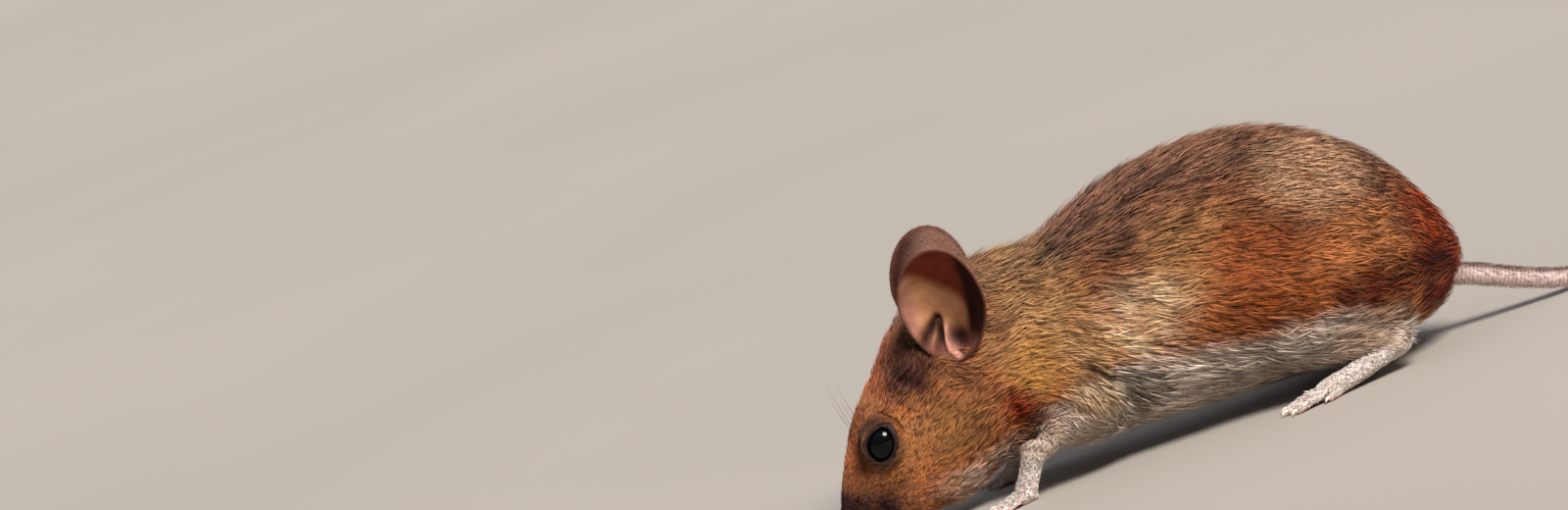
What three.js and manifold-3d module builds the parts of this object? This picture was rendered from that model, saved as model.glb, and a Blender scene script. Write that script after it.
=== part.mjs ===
// A wood mouse, life size, crouched with its nose to the ground, as a still museum model.
// Millimetres, +Z up. The mouse faces -X, so its left side is at -Y. Its feet and tail rest at Z = 0.
//
// Head, neck and trunk are one smooth body: a field of egg-shaped sections along two straight axes, blended
// with the bulges of shoulder and haunch. The surface of that field is found by casting rays out of the
// spine, and thin cuts part it into nodes. Legs, feet, toes and tail are swept along their own lines.
import * as THREE from "three";
import { mergeVertices } from "three/addons/utils/BufferGeometryUtils.js";
import Module from "manifold-3d";

const wasm = await Module();
wasm.setup();

// ---------------------------------------------------------------- driving dimensions

const GAP = 0.3; // between neighbouring pieces
const BIG = 300; // side of a cutting block

// Head: origin at the nose tip, axis rising backwards to the nape.
const NOSE = { x: -39.2, z: 2.6 };
const HEAD_PITCH = THREE.MathUtils.degToRad(38.5);
// Sections: distance along the axis, centre above the axis, half height, half width over half height.
const HEAD_SECTIONS = [
  [0, -0.6, 0, 0.9],
  [1, -0.6, 1.9, 0.95],
  [2.7, -0.7, 2.9, 0.93],
  [5, -1.2, 4.75, 0.82],
  [8.2, -1.5, 6.55, 0.75],
  [13, -1.3, 8.2, 0.78],
  [19, -1.3, 9.2, 0.89],
  [25.4, -0.5, 9.5, 0.95],
  [30, -0.2, 8.8, 0.97],
  [34, 0, 7, 1],
  [38.5, 0, 0, 1],
];

// Trunk: axis along X, sections as for the head, measured from the floor.
const TRUNK_SECTIONS = [
  [-20, 15.5, 0, 0.9],
  [-17.5, 16, 6.5, 0.9],
  [-12, 17.5, 11.5, 0.8],
  [-5, 16.9, 13.3, 0.8],
  [5, 18.2, 15.6, 0.8],
  [15, 18.8, 16.4, 0.84],
  [25, 18.3, 15.9, 0.88],
  [35, 16.0, 13.2, 0.9],
  [40, 14.0, 10.4, 0.92],
  [43, 12.5, 6.9, 0.95],
  [45.7, 11.3, 0, 0.95],
];
const TRUNK_SAG = 0.1; // how much wider the trunk is below its middle

// Bulges on each side: centre, radii and pitch of an ellipsoid. Y is the distance from the middle.
const SHOULDER = { centre: [-6, 6.6, 12.5], radii: [6.5, 4.4, 8.5], pitch: 0 };
const HAUNCH = { centre: [29, 7.8, 12.6], radii: [11, 7.2, 9.6], pitch: 0.25 };
const NECK_BLEND = 5;
const BULGE_BLEND = 4;

// The line that the body's sections are cast from, inside the body from nose to rump.
const SPINE = [
  [-38.9, 2.2],
  [-35, 4.4],
  [-28, 9.6],
  [-21, 14.6],
  [-13, 17.6],
  [-3, 17.8],
  [15, 18.8],
  [30, 17.2],
  [40, 14],
  [45.7, 11.3],
];
const BODY_RINGS = 41;
const BODY_SIDES = 24;

// Where the body is parted: a point of each cut and its lean from upright.
const NAPE_CUT = { x: -13, z: 18, lean: THREE.MathUtils.degToRad(12) };
const NECK_CUT = { x: -6.2, z: 18, lean: THREE.MathUtils.degToRad(5) };

// Eyes, in the head's own axis: along, above and out from the middle.
const EYE = { along: 13, above: 2.6, out: 4.6, radius: 2.5 };

// Ears: an oval dish, open outwards and a little forwards.
const EAR = {
  centre: [-17.9, 9.6, 27],
  up: [0.12, 0.2, 1],
  out: [-0.3, 1, -0.05],
  halfWidth: 5.6,
  halfHeight: 7.4,
  depth: 3.4,
  rearCurl: 1.3,
  baseTaper: 0.16,
  thickness: 0.8,
};

// Legs: points on the left side, with Y as the distance from the middle, and radii.
const ARM = { elbow: [-4.5, 8.2, 9.5], wrist: [-13.6, 8.9, 5.3], elbowRadius: 2.9, wristRadius: 1.35 };
const PALM = { at: [-16.2, 9, 1.05], radius: 1.5, flat: 0.85 };
const FINGERS = { spread: [-26, -9, 8, 26], length: [3, 3.6, 3.6, 3], step: 0.72, root: 0.62, tip: 0.45 };
const UPPER_ARM = { centre: [-6.5, 10.5, 12.5], radii: [6.2, 6.5, 8] };

const SHANK = { knee: [19, 10.5, 8], heel: [33.6, 11, 3.9], kneeRadius: 3.4, heelRadius: 1.7 };
const FOOT = { heel: [34, 10.9, 3.1], ball: [23.6, 13, 1.1], heelRadius: 1.45, ballRadius: 1.75, flat: 0.8 };
const TOES = {
  spread: [-24, -10, 2, 14, 34],
  length: [3.6, 5.3, 5.6, 5.2, 3.6],
  setBack: [2, 0, 0, 0, 2],
  step: 0.68,
  root: 0.8,
  tip: 0.5,
};
const THIGH = { centre: [29, 12.5, 12], radii: [11.5, 9.5, 10.5] };

// Tail: leaves the rump, comes down to the floor and lies there in one long bend.
const TAIL_LINE = [
  [41.5, 0, 8.4],
  [47, 0.2, 6.1],
  [52, 0.6, 3.8],
  [57, 1.4, 1.9],
  [63, 3, 1],
  [75, 8, 0.9],
  [88, 13.6, 0.74],
  [101, 17.2, 0.6],
  [112, 17.6, 0.5],
  [122, 15.2, 0.38],
];
const TAIL_RADIUS = { root: 1.6, tip: 0.45 };
const TAIL_LENGTHS = ["tail_base", "tail_middle", "tail_tip"];
const TAIL_RINGS = 12; // in each length

// ---------------------------------------------------------------- finishes

const finish = (color, roughness) => new THREE.MeshStandardMaterial({ color, roughness, metalness: 0 });
const BROWN_COAT = finish(0x8a5a33, 0.9);
const PALE_COAT = finish(0xa99583, 0.9);
const EAR_SKIN = finish(0x8f5a48, 0.7);
const PINK_SKIN = finish(0xd9b3a8, 0.6);
const TAIL_SKIN = finish(0xa8837c, 0.7);
const EYE_BLACK = finish(0x08080a, 0.08);

// ---------------------------------------------------------------- the body's field

// A smooth curve through a table's rows: the value of one column at x, and its slope.
// Past the ends it goes on straight, so a half height that reaches 0 closes with a round end.
function along(rows, column, x) {
  const value = (i) => column(rows[i]);
  const chord = (i) => (value(i + 1) - value(i)) / (rows[i + 1][0] - rows[i][0]);
  const last = rows.length - 1;
  const slope = (i) => {
    if (i === 0) return chord(0);
    if (i === last) return chord(last - 1);
    const before = rows[i][0] - rows[i - 1][0];
    const after = rows[i + 1][0] - rows[i][0];
    return (chord(i) * before + chord(i - 1) * after) / (before + after);
  };
  if (x <= rows[0][0]) return [value(0) + (x - rows[0][0]) * slope(0), slope(0)];
  if (x >= rows[last][0]) return [value(last) + (x - rows[last][0]) * slope(last), slope(last)];
  let i = 0;
  while (x > rows[i + 1][0]) i++;
  const h = rows[i + 1][0] - rows[i][0];
  const t = (x - rows[i][0]) / h;
  const y =
    (1 + 2 * t) * (1 - t) ** 2 * value(i) +
    t * (1 - t) ** 2 * h * slope(i) +
    t * t * (3 - 2 * t) * value(i + 1) +
    t * t * (t - 1) * h * slope(i + 1);
  const dy =
    ((6 * t * t - 6 * t) / h) * (value(i) - value(i + 1)) +
    (3 * t * t - 4 * t + 1) * slope(i) +
    (3 * t * t - 2 * t) * slope(i + 1);
  return [y, dy];
}

// Distance, near enough, from a lofted form whose sections stand on a straight axis in the plane Y = 0.
function sectionField(rows, origin, pitch, sag) {
  const [c, s] = [Math.cos(pitch), Math.sin(pitch)];
  const [first, last] = [rows[0][0], rows[rows.length - 1][0]];
  return (x, y, z) => {
    const a = (x - origin.x) * c + (z - origin.z) * s;
    const v = (z - origin.z) * c - (x - origin.x) * s;
    const [centre] = along(rows, (r) => r[1], a);
    const [ratio] = along(rows, (r) => r[3], THREE.MathUtils.clamp(a, first, last));
    const [square, slope] = along(rows, (r) => r[2] * r[2], a);
    const up = v - centre;
    const lean = THREE.MathUtils.clamp(up / Math.sqrt(Math.max(square, 1)), -1.2, 1.2);
    const wide = ratio * (1 - sag * lean);
    const d2 = (y / wide) ** 2 + up * up;
    return ((d2 - square) / (2 * Math.sqrt(d2 + (slope / 2) ** 2) + 1e-6)) * Math.min(wide, 1);
  };
}

function bulgeField({ centre, radii, pitch }) {
  const [c, s] = [Math.cos(pitch), Math.sin(pitch)];
  return (x, y, z) => {
    const [dx, dz] = [x - centre[0], z - centre[2]];
    const p = [dx * c + dz * s, Math.abs(y) - centre[1], dz * c - dx * s];
    const k0 = Math.hypot(...p.map((e, i) => e / radii[i]));
    const k1 = Math.hypot(...p.map((e, i) => e / radii[i] ** 2)) + 1e-9;
    return (k0 * (k0 - 1)) / k1;
  };
}

// The lesser of two distances, rounded over where they are within k of each other.
function blend(a, b, k) {
  const h = THREE.MathUtils.clamp(0.5 + (0.5 * (b - a)) / k, 0, 1);
  return b * (1 - h) + a * h - k * h * (1 - h);
}

const headField = sectionField(HEAD_SECTIONS, NOSE, HEAD_PITCH, 0);
const trunkField = sectionField(TRUNK_SECTIONS, { x: 0, z: 0 }, 0, TRUNK_SAG);
const shoulderField = bulgeField(SHOULDER);
const haunchField = bulgeField(HAUNCH);

function bodyField(x, y, z) {
  const core = blend(trunkField(x, y, z), headField(x, y, z), NECK_BLEND);
  const hips = blend(core, haunchField(x, y, z), BULGE_BLEND);
  return blend(hips, shoulderField(x, y, z), BULGE_BLEND);
}

// ---------------------------------------------------------------- geometry helpers

const vector = ([x, y, z]) => new THREE.Vector3(x, y, z);
// A point given for the left side, moved to side -1 (left) or 1 (right).
const onSide = (p, side) => new THREE.Vector3(p[0], p[1] * side, p[2]);

// A closed surface from rings of equal length, with a point at each end.
function skinOver(start, rings, end) {
  const sides = rings[0].length;
  const points = [start, ...rings.flat(), end];
  const at = (ring, side) => 1 + ring * sides + (side % sides);
  const faces = [];
  for (let j = 0; j < sides; j++) {
    faces.push(0, at(0, j + 1), at(0, j));
    for (let i = 0; i + 1 < rings.length; i++) {
      faces.push(at(i, j), at(i, j + 1), at(i + 1, j + 1));
      faces.push(at(i, j), at(i + 1, j + 1), at(i + 1, j));
    }
    faces.push(points.length - 1, at(rings.length - 1, j), at(rings.length - 1, j + 1));
  }
  return new THREE.BufferGeometry().setFromPoints(points).setIndex(faces);
}

// A geometry as a manifold-3d solid, turned so that its faces point outwards.
function solid(geometry) {
  const bare = new THREE.BufferGeometry();
  bare.setAttribute("position", geometry.getAttribute("position"));
  bare.setIndex(geometry.getIndex());
  const merged = mergeVertices(bare, 1e-4);
  const triVerts = new Uint32Array(merged.index.array);
  const vertProperties = new Float32Array(merged.attributes.position.array);
  const make = () => new wasm.Manifold(new wasm.Mesh({ numProp: 3, vertProperties, triVerts }));
  const made = make();
  if (made.volume() >= 0) return made;
  for (let i = 0; i < triVerts.length; i += 3) {
    [triVerts[i + 1], triVerts[i + 2]] = [triVerts[i + 2], triVerts[i + 1]];
  }
  return make();
}

function geometryOf(made) {
  const { numProp, vertProperties, triVerts } = made.getMesh();
  const positions = new Float32Array((vertProperties.length / numProp) * 3);
  for (let i = 0; i < positions.length / 3; i++) {
    positions.set(vertProperties.subarray(i * numProp, i * numProp + 3), i * 3);
  }
  const geometry = new THREE.BufferGeometry();
  geometry.setAttribute("position", new THREE.BufferAttribute(positions, 3));
  geometry.setIndex(new THREE.BufferAttribute(new Uint32Array(triVerts), 1));
  geometry.computeVertexNormals();
  return geometry;
}

const joined = (...solids) => solids.reduce((a, b) => a.add(b));
const without = (whole, ...cutters) => cutters.reduce((a, b) => a.subtract(b), whole);
// The largest of the bodies that a cut leaves.
const largest = (made) => made.decompose().reduce((a, b) => (b.volume() > a.volume() ? b : a));

// Everything on one side of an upright cut that leans forwards as it rises. way is 1 behind it, -1 in front.
function block({ x, z, lean }, way) {
  const geometry = new THREE.BoxGeometry(BIG, BIG, BIG);
  geometry.translate((way * BIG) / 2, 0, 0).rotateY(-lean).translate(x - (way * GAP) / 2, 0, z);
  return solid(geometry);
}

const underFloor = solid(new THREE.BoxGeometry(BIG, BIG, BIG).translate(0, 0, -BIG / 2));

function ellipsoid({ centre, radii }, side, grow = 0) {
  const geometry = new THREE.SphereGeometry(1, 16, 10);
  geometry.scale(...radii.map((r) => r + grow)).translate(...onSide(centre, side));
  return solid(geometry);
}

// A limb swept along a line of points, with a radius at each and round ends. flat is its height over its width.
function limb(points, radii, { sides = 8, steps = 3, flat = 1, grow = 0 } = {}) {
  const curve = new THREE.CatmullRomCurve3(points, false, "centripetal");
  const spans = points.length - 1;
  const width = (t) => {
    const i = Math.min(Math.floor(t * spans), spans - 1);
    return THREE.MathUtils.lerp(radii[i], radii[i + 1], t * spans - i) + grow;
  };
  const ring = (middle, tangent, radius) => {
    const across = new THREE.Vector3(-tangent.y, tangent.x, 0).normalize();
    const up = tangent.clone().cross(across);
    return Array.from({ length: sides }, (_, j) => {
      const angle = (2 * Math.PI * j) / sides;
      return middle
        .clone()
        .addScaledVector(across, radius * Math.cos(angle))
        .addScaledVector(up, radius * flat * Math.sin(angle));
    });
  };
  // Each round end closes over one ring to a point one radius past the line's end.
  const dome = (t, way) => {
    const tangent = curve.getTangent(t);
    const beyond = (angle) => curve.getPoint(t).addScaledVector(tangent, way * width(t) * Math.sin(angle));
    const slope = Math.PI / 4;
    return { ring: ring(beyond(slope), tangent, width(t) * Math.cos(slope)), pole: beyond(Math.PI / 2) };
  };
  const [start, end] = [dome(0, -1), dome(1, 1)];
  const count = spans * steps;
  const middle = Array.from({ length: count + 1 }, (_, i) => i / count).map((t) =>
    ring(curve.getPoint(t), curve.getTangent(t), width(t)),
  );
  return solid(skinOver(start.pole, [start.ring, ...middle, end.ring], end.pole));
}

// ---------------------------------------------------------------- head, neck and trunk

// The body's surface, grown by a margin. Rays run square to the spine, out to where the field is the margin.
function castBody(margin) {
  const spine = new THREE.CatmullRomCurve3(SPINE.map(([x, z]) => new THREE.Vector3(x, 0, z)));
  const reach = (from, way) => {
    let [inside, outside] = [0, 0];
    const field = (r) => bodyField(from.x + way.x * r, way.y * r, from.z + way.z * r) - margin;
    while (field(outside) < 0) [inside, outside] = [outside, outside + 0.5];
    for (let i = 0; i < 16; i++) {
      const middle = (inside + outside) / 2;
      if (field(middle) < 0) inside = middle;
      else outside = middle;
    }
    return from.clone().addScaledVector(way, outside);
  };
  const rings = [];
  for (let i = 1; i < BODY_RINGS; i++) {
    const even = i / BODY_RINGS;
    const t = 0.45 * even + 0.55 * (0.5 - 0.5 * Math.cos(Math.PI * even)); // closer rings at both ends
    const from = spine.getPointAt(t);
    const tangent = spine.getTangentAt(t);
    const up = new THREE.Vector3(-tangent.z, 0, tangent.x);
    rings.push(
      Array.from({ length: BODY_SIDES }, (_, j) => {
        const angle = (2 * Math.PI * j) / BODY_SIDES;
        return reach(from, new THREE.Vector3(0, Math.cos(angle), 0).addScaledVector(up, Math.sin(angle)));
      }),
    );
  }
  const end = (t, way) => reach(spine.getPointAt(t), spine.getTangentAt(t).multiplyScalar(way));
  return solid(skinOver(end(0.02, -1), rings, end(0.98, 1)));
}

const body = castBody(0);
const grownBody = castBody(GAP);
// The head and a gap all round it, which a limb that passes it leaves free.
const headRoom = without(grownBody, block({ ...NAPE_CUT, x: NAPE_CUT.x + GAP }, 1));

function headPoint({ along: a, above, out }, side) {
  const [c, s] = [Math.cos(HEAD_PITCH), Math.sin(HEAD_PITCH)];
  return new THREE.Vector3(NOSE.x + a * c - above * s, out * side, NOSE.z + a * s + above * c);
}

function eyeball(side, grow = 0) {
  const geometry = new THREE.SphereGeometry(EYE.radius + grow, 12, 8);
  return solid(geometry.translate(...headPoint(EYE, side)));
}

// ---------------------------------------------------------------- ears

// A point of the ear's inner face. share is 0 at its middle and 1 at its rim. angle rises from the rear edge.
function earPoint(share, angle, side) {
  const up = vector(EAR.up).normalize();
  const out = vector(EAR.out);
  out.addScaledVector(up, -out.dot(up)).normalize();
  const rear = up.clone().cross(out).negate();
  const low = Math.max(0, -Math.sin(angle)) * share;
  const back = Math.max(0, Math.cos(angle)) * share;
  const point = vector(EAR.centre)
    .addScaledVector(rear, EAR.halfWidth * share * Math.cos(angle) * (1 - EAR.baseTaper * low))
    .addScaledVector(up, EAR.halfHeight * share * Math.sin(angle))
    .addScaledVector(out, EAR.rearCurl * back * back - EAR.depth * (1 - share * share));
  return { point: onSide(point.toArray(), side), out: onSide(out.toArray(), side) };
}

function ear(side) {
  const [sides, steps] = [20, 3]; // round the dish, and from its middle to its rim
  const face = (depth) => {
    const rings = [];
    for (let i = 1; i <= steps; i++) {
      rings.push(
        Array.from({ length: sides }, (_, j) => {
          const { point, out } = earPoint(i / steps, (2 * Math.PI * j) / sides, side);
          return point.addScaledVector(out, -depth);
        }),
      );
    }
    const { point, out } = earPoint(0, 0, side);
    return { rings, middle: point.addScaledVector(out, -depth) };
  };
  const [inner, outer] = [face(0), face(EAR.thickness)];
  const shell = solid(skinOver(inner.middle, [...inner.rings, ...outer.rings.reverse()], outer.middle));
  return largest(without(shell, grownBody));
}

// ---------------------------------------------------------------- legs

// The toes or fingers of one foot: each starts beside the last, across the foot, and fans out from it.
function digits(base, heading, { spread, length, setBack, step, root, tip }, side) {
  return spread.map((degrees, i) => {
    const angle = heading + THREE.MathUtils.degToRad(degrees);
    const way = new THREE.Vector3(-Math.cos(angle), Math.sin(angle), 0);
    const across = new THREE.Vector3(Math.sin(angle), Math.cos(angle), 0);
    const start = vector(base)
      .addScaledVector(across, (i - (spread.length - 1) / 2) * step)
      .addScaledVector(way, -(setBack ? setBack[i] : 0));
    const knuckle = start.clone().addScaledVector(way, length[i] * 0.5);
    knuckle.z = root + 0.25; // arched clear of the floor
    const end = start.clone().addScaledVector(way, length[i]);
    end.z = tip - 0.05; // pressed a little on the floor
    const line = [start, knuckle, end].map((p) => onSide(p.toArray(), side));
    return limb(line, [root, (root + tip) / 2, tip], { sides: 6, steps: 1 });
  });
}

const headingOf = (from, to) => Math.atan2(to[1] - from[1], from[0] - to[0]);

function forepawPalm(side, grow = 0) {
  const line = [ARM.wrist, PALM.at].map((p) => onSide(p, side));
  return limb(line, [ARM.wristRadius, PALM.radius], { flat: PALM.flat, grow });
}

function forepaw(side) {
  const knuckles = [PALM.at[0] - 0.3, PALM.at[1], PALM.at[2] + 0.25];
  const fingers = digits(knuckles, headingOf(ARM.wrist, PALM.at), FINGERS, side);
  return without(joined(forepawPalm(side), ...fingers), underFloor);
}

function forearm(side, grow = 0) {
  const line = [ARM.elbow, ARM.wrist].map((p) => onSide(p, side));
  return limb(line, [ARM.elbowRadius, ARM.wristRadius], { grow });
}

function foreleg(side) {
  const upper = without(body.intersect(ellipsoid(UPPER_ARM, side)), block(NAPE_CUT, -1));
  return largest(without(joined(upper, without(forearm(side), headRoom)), forepawPalm(side, GAP)));
}

function hindFootSole(side, grow = 0) {
  const line = [FOOT.heel, FOOT.ball].map((p) => onSide(p, side));
  return limb(line, [FOOT.heelRadius, FOOT.ballRadius], { flat: FOOT.flat, grow, steps: 4 });
}

function hindFoot(side) {
  const toes = digits(FOOT.ball, headingOf(FOOT.heel, FOOT.ball), TOES, side);
  return without(joined(hindFootSole(side), ...toes), underFloor);
}

function shank(side, grow = 0) {
  const line = [SHANK.knee, SHANK.heel].map((p) => onSide(p, side));
  return limb(line, [SHANK.kneeRadius, SHANK.heelRadius], { grow });
}

function hindleg(side) {
  const thigh = body.intersect(ellipsoid(THIGH, side));
  return largest(without(joined(thigh, shank(side)), hindFootSole(side, GAP)));
}

// What a leg takes out of the trunk: its own volume and a gap round it.
function legRoom(side) {
  const upper = [UPPER_ARM, THIGH].map((part) => ellipsoid(part, side, GAP));
  const lower = [forearm, forepawPalm, shank, hindFootSole].map((part) => part(side, GAP));
  return joined(...upper, ...lower);
}

// ---------------------------------------------------------------- tail

function tailLength(index) {
  const curve = new THREE.CatmullRomCurve3(TAIL_LINE.map(vector), false, "centripetal");
  const total = curve.getLength();
  const parts = TAIL_LENGTHS.length;
  const [from, to] = [index / parts, (index + 1) / parts - (index + 1 < parts ? GAP / total : 0)];
  const radius = (t) => THREE.MathUtils.lerp(TAIL_RADIUS.root, TAIL_RADIUS.tip, t ** 0.8);
  const sides = 8;
  const rings = Array.from({ length: TAIL_RINGS + 1 }, (_, i) => {
    const t = THREE.MathUtils.lerp(from, to, i / TAIL_RINGS);
    const tangent = curve.getTangentAt(t);
    const across = new THREE.Vector3(-tangent.y, tangent.x, 0).normalize();
    const up = tangent.clone().cross(across);
    return Array.from({ length: sides }, (_, j) => {
      const angle = (2 * Math.PI * (j + 0.5)) / sides;
      return curve
        .getPointAt(t)
        .addScaledVector(across, radius(t) * Math.cos(angle))
        .addScaledVector(up, radius(t) * Math.sin(angle));
    });
  });
  const swept = solid(skinOver(curve.getPointAt(from), rings, curve.getPointAt(to)));
  return largest(without(swept, grownBody, underFloor));
}

// ---------------------------------------------------------------- the mouse

const mouse = new THREE.Group();

function addPiece(name, made, material) {
  const mesh = new THREE.Mesh(geometryOf(made), material);
  mesh.name = name;
  mouse.add(mesh);
}

const SIDES = [
  ["left", -1],
  ["right", 1],
];

const legs = joined(...SIDES.map(([, side]) => legRoom(side)));
const sockets = joined(...SIDES.map(([, side]) => eyeball(side, GAP)));

addPiece("head", without(body, block(NAPE_CUT, 1), sockets), BROWN_COAT);
addPiece("neck", largest(without(body, block(NAPE_CUT, -1), block(NECK_CUT, 1), legs)), BROWN_COAT);
addPiece("trunk", largest(without(body, block(NECK_CUT, -1), legs)), BROWN_COAT);
for (const [name, side] of SIDES) {
  addPiece(`eye_${name}`, eyeball(side), EYE_BLACK);
  addPiece(`ear_${name}`, ear(side), EAR_SKIN);
  addPiece(`foreleg_${name}`, foreleg(side), PALE_COAT);
  addPiece(`forepaw_${name}`, forepaw(side), PINK_SKIN);
  addPiece(`hindleg_${name}`, hindleg(side), BROWN_COAT);
  addPiece(`hindfoot_${name}`, hindFoot(side), PINK_SKIN);
}
TAIL_LENGTHS.forEach((name, index) => addPiece(name, tailLength(index), TAIL_SKIN));

// The origin is on the floor, under the middle of the whole animal with its tail.
const extent = new THREE.Box3().setFromObject(mouse);
const middle = extent.getCenter(new THREE.Vector3());
mouse.position.set(-middle.x, -middle.y, -extent.min.z);

export default mouse;
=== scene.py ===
"""A life-size wood mouse, crouched with its nose to the ground, as a museum shows it.

Sizes are millimetres in the mouse's own space: it faces -X, its left side is at -Y, and it stands on Z = 0.
The form is a distance field made from the same named sizes as the solids. One skin is drawn through that
field, inside the solids by the depth of the coat. The coat is a layer of small solid tufts that lie along it.
"""

import logging
import math
from collections.abc import Callable
from dataclasses import dataclass, field
from enum import Enum, IntEnum
from functools import reduce

import bpy
import numpy as np
from mathutils import Matrix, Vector
from mathutils.kdtree import KDTree


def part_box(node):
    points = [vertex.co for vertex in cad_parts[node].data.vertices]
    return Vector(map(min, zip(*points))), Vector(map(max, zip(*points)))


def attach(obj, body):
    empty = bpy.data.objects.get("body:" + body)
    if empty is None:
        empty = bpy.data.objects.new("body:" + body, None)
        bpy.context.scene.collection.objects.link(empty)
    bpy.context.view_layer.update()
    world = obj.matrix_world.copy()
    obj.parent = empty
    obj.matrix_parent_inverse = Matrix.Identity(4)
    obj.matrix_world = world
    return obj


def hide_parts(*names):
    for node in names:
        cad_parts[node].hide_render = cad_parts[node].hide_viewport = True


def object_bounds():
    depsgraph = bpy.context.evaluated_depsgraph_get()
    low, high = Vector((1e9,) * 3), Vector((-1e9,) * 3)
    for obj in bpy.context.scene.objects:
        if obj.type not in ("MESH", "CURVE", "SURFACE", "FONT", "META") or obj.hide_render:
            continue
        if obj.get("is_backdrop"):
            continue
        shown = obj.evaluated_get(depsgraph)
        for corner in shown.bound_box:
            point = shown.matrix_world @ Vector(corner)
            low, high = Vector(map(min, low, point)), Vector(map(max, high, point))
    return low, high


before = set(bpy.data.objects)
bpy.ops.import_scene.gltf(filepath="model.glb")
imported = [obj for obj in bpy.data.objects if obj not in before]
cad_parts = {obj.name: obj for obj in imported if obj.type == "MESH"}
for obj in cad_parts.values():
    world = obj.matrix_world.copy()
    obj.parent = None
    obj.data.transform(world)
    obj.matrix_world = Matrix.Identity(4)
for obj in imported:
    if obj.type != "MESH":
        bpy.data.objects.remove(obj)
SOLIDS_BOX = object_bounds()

Array = np.ndarray
Point = tuple[float, float, float]
Line = tuple[tuple[float, float], ...]  # the corners of straight lengths
log = logging.getLogger("wood_mouse")

METRES = 0.001  # in a millimetre
BODY = "root"
SIDES = {"left": -1, "right": 1}

# ---------------------------------------------------------------- the mouse's sizes, as in its solids

NOSE = (-39.2, 2.6)
HEAD_PITCH = math.radians(38.5)
HEAD_SECTIONS = (
    (0, -0.6, 0, 0.9),
    (1, -0.6, 1.9, 0.95),
    (2.7, -0.7, 2.9, 0.93),
    (5, -1.2, 4.75, 0.82),
    (8.2, -1.5, 6.55, 0.75),
    (13, -1.3, 8.2, 0.78),
    (19, -1.3, 9.2, 0.89),
    (25.4, -0.5, 9.5, 0.95),
    (30, -0.2, 8.8, 0.97),
    (34, 0, 7, 1),
    (38.5, 0, 0, 1),
)
TRUNK_SECTIONS = (
    (-20, 15.5, 0, 0.9),
    (-17.5, 16, 6.5, 0.9),
    (-12, 17.5, 11.5, 0.8),
    (-5, 16.9, 13.3, 0.8),
    (5, 18.2, 15.6, 0.8),
    (15, 18.8, 16.4, 0.84),
    (25, 18.3, 15.9, 0.88),
    (35, 16.0, 13.2, 0.9),
    (40, 14.0, 10.4, 0.92),
    (43, 12.5, 6.9, 0.95),
    (45.7, 11.3, 0, 0.95),
)
TRUNK_SAG = 0.1
NECK_BLEND = 5.0
BULGE_BLEND = 4.0

EYE_ALONG, EYE_ABOVE, EYE_OUT, EYE_RADIUS = 13.0, 2.6, 4.6, 2.5
LEGS_PART = 5.0  # the X that parts the forelegs from the hind legs
BODY_UNDER_EAR = 0.36  # how far below the ear's inner face the body is cut away
HAIR_CLEARANCE = 0.05  # of the hairs' ends above the floor


# ---------------------------------------------------------------- small tools


def unit(v: Array) -> Array:
    """Scales vectors to length 1.

    Args:
        v: One vector, or an array with vectors in its last axis.

    Returns:
        The same vectors at length 1.
    """
    v = np.asarray(v, float)
    return v / np.maximum(np.linalg.norm(v, axis=-1, keepdims=True), 1e-9)


def on_right(p: Array) -> Array:
    """Points folded over the middle plane onto the mouse's right side, where Y is positive."""
    return np.stack([p[:, 0], np.abs(p[:, 1]), p[:, 2]], axis=1)


def ease(x: Array, low: float, high: float) -> Array:
    """A smooth step.

    Args:
        x: Where to read it.
        low: Where it is 0.
        high: Where it is 1.

    Returns:
        Values from 0 to 1.
    """
    t = np.clip((x - low) / (high - low), 0, 1)
    return t * t * (3 - 2 * t)


def ramp(x: Array, *points: tuple[float, float]) -> Array:
    """Straight lines through points, level past both ends.

    Args:
        x: Where to read it.
        points: Pairs of a place and a value, in rising order of place.

    Returns:
        The values at x.
    """
    places, values = zip(*points)
    return np.interp(x, places, values)


def blended(a: Array, b: Array, k: float) -> Array:
    """The lesser of two distances, rounded where they are within k of each other.

    Args:
        a: One field's distances.
        b: The other's.
        k: The width of the rounding.

    Returns:
        The distances to the two forms joined.
    """
    h = np.clip(0.5 + 0.5 * (b - a) / k, 0, 1)
    return b * (1 - h) + a * h - k * h * (1 - h)


def bell(x: Array, width: float) -> Array:
    """A bell curve that is 1 at 0 and falls to about a third at width."""
    return np.exp(-((x / width) ** 2))


def ripples(points: Array, size: float, seed: int, waves: int = 7) -> Array:
    """Smooth noise from a few crossing waves.

    Args:
        points: Places in mm, one in each row.
        size: The rough size of a ripple in mm.
        seed: Picks the pattern.
        waves: How many waves cross.

    Returns:
        One value for each point, mostly from -1 to 1.
    """
    rng = np.random.default_rng(seed)
    ways = unit(rng.normal(size=(waves, 3))) * rng.uniform(0.6, 1.5, (waves, 1)) * math.tau / (2 * size)
    phases = rng.uniform(0, math.tau, waves)
    return np.sin(points @ ways.T + phases).sum(axis=1) / math.sqrt(waves / 2) / 1.5


def hex_to_linear(code: str) -> Array:
    """Turns an sRGB hex colour into linear light.

    Args:
        code: Six hex digits, with or without a #.

    Returns:
        Red, green and blue.
    """
    srgb = np.array([int(code.lstrip("#")[i : i + 2], 16) / 255 for i in (0, 2, 4)])
    return np.where(srgb <= 0.04045, srgb / 12.92, ((srgb + 0.055) / 1.055) ** 2.4)


def rgba(code: str) -> tuple[float, float, float, float]:
    """A hex colour as an opaque linear one for a shader's socket."""
    return (*hex_to_linear(code), 1.0)


# ---------------------------------------------------------------- forms as distance fields


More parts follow.
